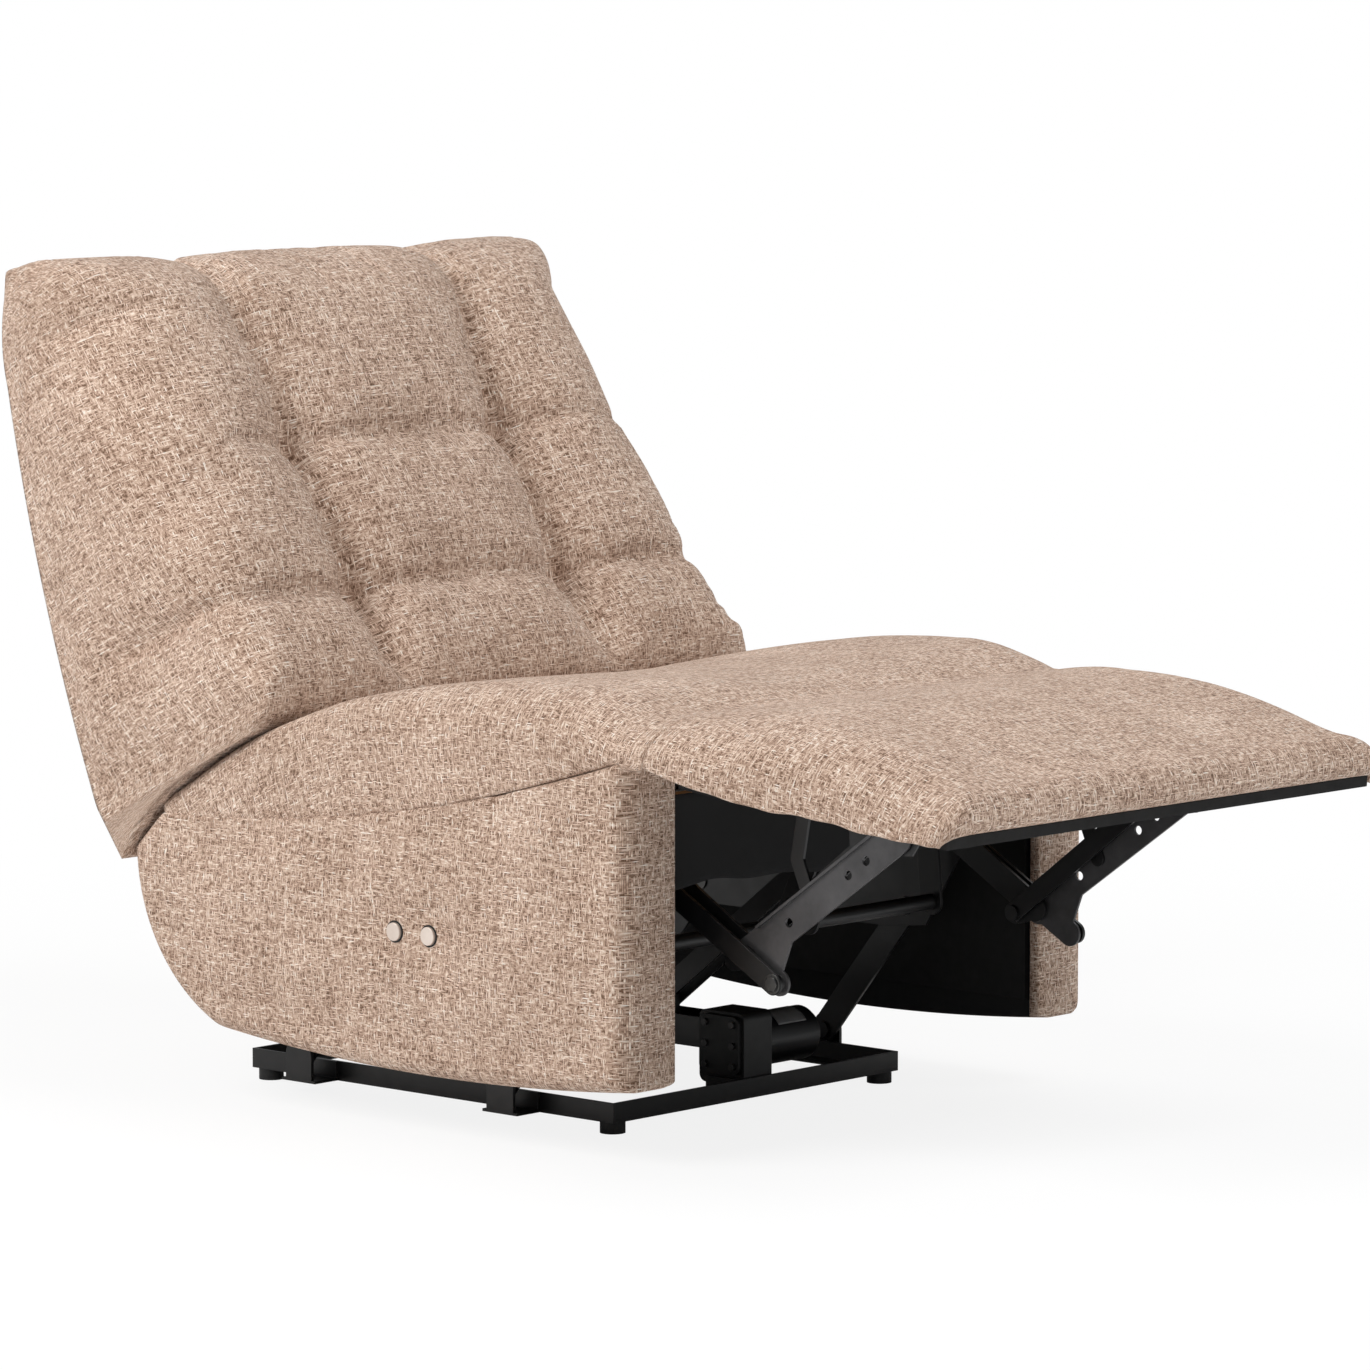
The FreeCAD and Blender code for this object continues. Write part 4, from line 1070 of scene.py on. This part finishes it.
def bolt_heads(name, body, places):
    """Flat hexagon heads with washers on the outer faces of the links, on both sides of the chair."""
    angle = np.linspace(0.0, 2.0 * math.pi, 49)
    across = np.mod(angle, math.pi / 3.0) - math.pi / 6.0
    hexagon = math.cos(math.pi / 6.0) / np.cos(across)
    washer = ((0.0, 0.0, 0.0), (0.0, 11.0, 0.0), (0.7, 11.0, 0.0), (0.9, 10.6, 0.0))
    head = ((0.95, 8.6, 1.0), (2.4, 8.6, 1.0), (2.9, 7.4, 0.5), (3.0, 0.0, 0.0))
    levels = washer + head
    bolts = []
    for side in (-1.0, 1.0):
        for y, z, x in places:
            grid = np.zeros((len(levels), len(angle), 3))
            for k, (rise, radius, six) in enumerate(levels):
                reach = radius * (1.0 - six + six * hexagon)
                grid[k, :, 0] = side * (x + rise)
                grid[k, :, 1] = y + reach * np.cos(angle)
                grid[k, :, 2] = z + reach * np.sin(angle)
            bolts.append(grid_object(name, grid, grid[:, :, 1:]))
    first = bolts[0]
    for bolt in bolts[1:]:
        sew(first, bolt)
    first.data.polygons.foreach_set("use_smooth", np.zeros(len(first.data.polygons), bool))
    first.data.materials.append(MATERIALS["zinc_steel"])
    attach(first, body)


def build_motor_plate():
    """The plain place of the rating plate on top of the motor."""
    low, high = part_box("motor_can")
    radius = (high.z - low.z) / 2.0 / MM + 0.4
    centre = ((low.y + high.y) / 2.0 - FRONT_Y) / MM, (low.z + high.z) / 2.0 / MM
    x = np.linspace(low.x + 0.25 * (high.x - low.x), low.x + 0.8 * (high.x - low.x), 12) / MM
    turn = np.radians(np.linspace(-5.0, 55.0, 16))
    grid = np.zeros((16, 12, 3))
    grid[:, :, 0] = x[None, :]
    grid[:, :, 1] = centre[0] - radius * np.sin(turn)[:, None]
    grid[:, :, 2] = centre[1] + radius * np.cos(turn)[:, None]
    obj = grid_object("motor_plate", grid, grid[:, :, :2])
    thicken(obj, 0.5, 0.0)
    obj.data.materials.append(MATERIALS["plate_metal"])
    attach(obj, "base")


def build_world():
    """Soft light from all round, seen as plain white behind the chair."""
    world = bpy.data.worlds.new("studio")
    bpy.context.scene.world = world
    world.use_nodes = True
    nodes = world.node_tree.nodes
    links = world.node_tree.links
    nodes.clear()
    paths = nodes.new("ShaderNodeLightPath")
    clear = nodes.new("ShaderNodeMath")
    clear.operation = "MAXIMUM"
    links.new(paths.outputs["Is Camera Ray"], clear.inputs[0])
    links.new(paths.outputs["Is Transmission Ray"], clear.inputs[1])
    light = nodes.new("ShaderNodeBackground")
    light.inputs["Color"].default_value = (0.97, 0.985, 1.0, 1.0)
    light.inputs["Strength"].default_value = WORLD_STRENGTH
    white = nodes.new("ShaderNodeBackground")
    white.inputs["Color"].default_value = (1.0, 1.0, 1.0, 1.0)
    white.inputs["Strength"].default_value = 1.0
    pick = nodes.new("ShaderNodeMixShader")
    links.new(clear.outputs[0], pick.inputs[0])
    links.new(light.outputs[0], pick.inputs[1])
    links.new(white.outputs[0], pick.inputs[2])
    out = nodes.new("ShaderNodeOutputWorld")
    links.new(pick.outputs[0], out.inputs[0])


def build_floor():
    """A pale floor that keeps the chair's shadow and turns white further away."""
    bpy.ops.mesh.primitive_grid_add(x_subdivisions=4, y_subdivisions=4, size=FLOOR_SIZE)
    floor = bpy.context.object
    floor.location = (0.0, 0.0, -0.0005)
    floor.name = "floor"
    floor_material = bpy.data.materials.new("floor")
    floor_material.use_nodes = True
    tree = floor_material.node_tree
    surface = tree.nodes["Principled BSDF"]
    surface.inputs["Base Color"].default_value = (0.94, 0.94, 0.94, 1.0)
    surface.inputs["Roughness"].default_value = 0.9
    paths = tree.nodes.new("ShaderNodeLightPath")
    glow = tree.nodes.new("ShaderNodeEmission")
    glow.inputs["Strength"].default_value = 1.0
    pick = tree.nodes.new("ShaderNodeMixShader")
    where = tree.nodes.new("ShaderNodeNewGeometry")
    away = tree.nodes.new("ShaderNodeVectorMath")
    away.operation = "LENGTH"
    tree.links.new(where.outputs["Position"], away.inputs[0])
    fade = tree.nodes.new("ShaderNodeMapRange")
    fade.interpolation_type = "SMOOTHSTEP"
    for socket, value in FLOOR_GLOW:
        fade.inputs[socket].default_value = value
    tree.links.new(away.outputs["Value"], fade.inputs["Value"])
    share = tree.nodes.new("ShaderNodeMath")
    share.operation = "MULTIPLY"
    tree.links.new(paths.outputs["Is Camera Ray"], share.inputs[0])
    tree.links.new(fade.outputs["Result"], share.inputs[1])
    tree.links.new(share.outputs[0], pick.inputs[0])
    tree.links.new(surface.outputs[0], pick.inputs[1])
    tree.links.new(glow.outputs[0], pick.inputs[2])
    tree.links.new(pick.outputs[0], tree.nodes["Material Output"].inputs["Surface"])
    floor.data.materials.append(floor_material)


def build_lamp(name, place_at, size, watts, colour):
    data = bpy.data.lights.new(name, "AREA")
    data.shape = "RECTANGLE"
    data.size = size
    data.size_y = size
    data.energy = watts
    data.color = colour
    lamp = bpy.data.objects.new(name, data)
    lamp.location = place_at
    lamp.rotation_euler = (Vector(LAMP_TARGET) - Vector(place_at)).to_track_quat("-Z", "Y").to_euler()
    bpy.context.collection.objects.link(lamp)


def build_camera():
    camera = bpy.data.cameras.new("camera")
    camera.lens = CAMERA_LENS
    camera.sensor_width = 36.0
    camera.clip_end = 100.0
    viewer = bpy.data.objects.new("camera", camera)
    shift = Vector((0.0, FRONT_Y, 0.0))
    viewer.location = Vector(CAMERA_PLACE) + shift
    target = Vector(CAMERA_TARGET) + shift
    viewer.rotation_euler = (target - viewer.location).to_track_quat("-Z", "Y").to_euler()
    bpy.context.collection.objects.link(viewer)
    bpy.context.scene.camera = viewer


bpy.context.scene.view_settings.view_transform = "Standard"
build_world()
build_floor()
for lamp_values in LAMPS:
    build_lamp(*lamp_values)
build_camera()

build_back()
build_back_cover()
build_seat()
build_pad()
build_panel(-1)
build_panel(1)
build_apron()
build_straps()
build_bumpers()
bolt_heads("knee_bolts", "channel", ((*KNEE, CHANNEL_OUTER_X), (*HEEL, CONTROL_OUTER_X)))
build_motor_plate()
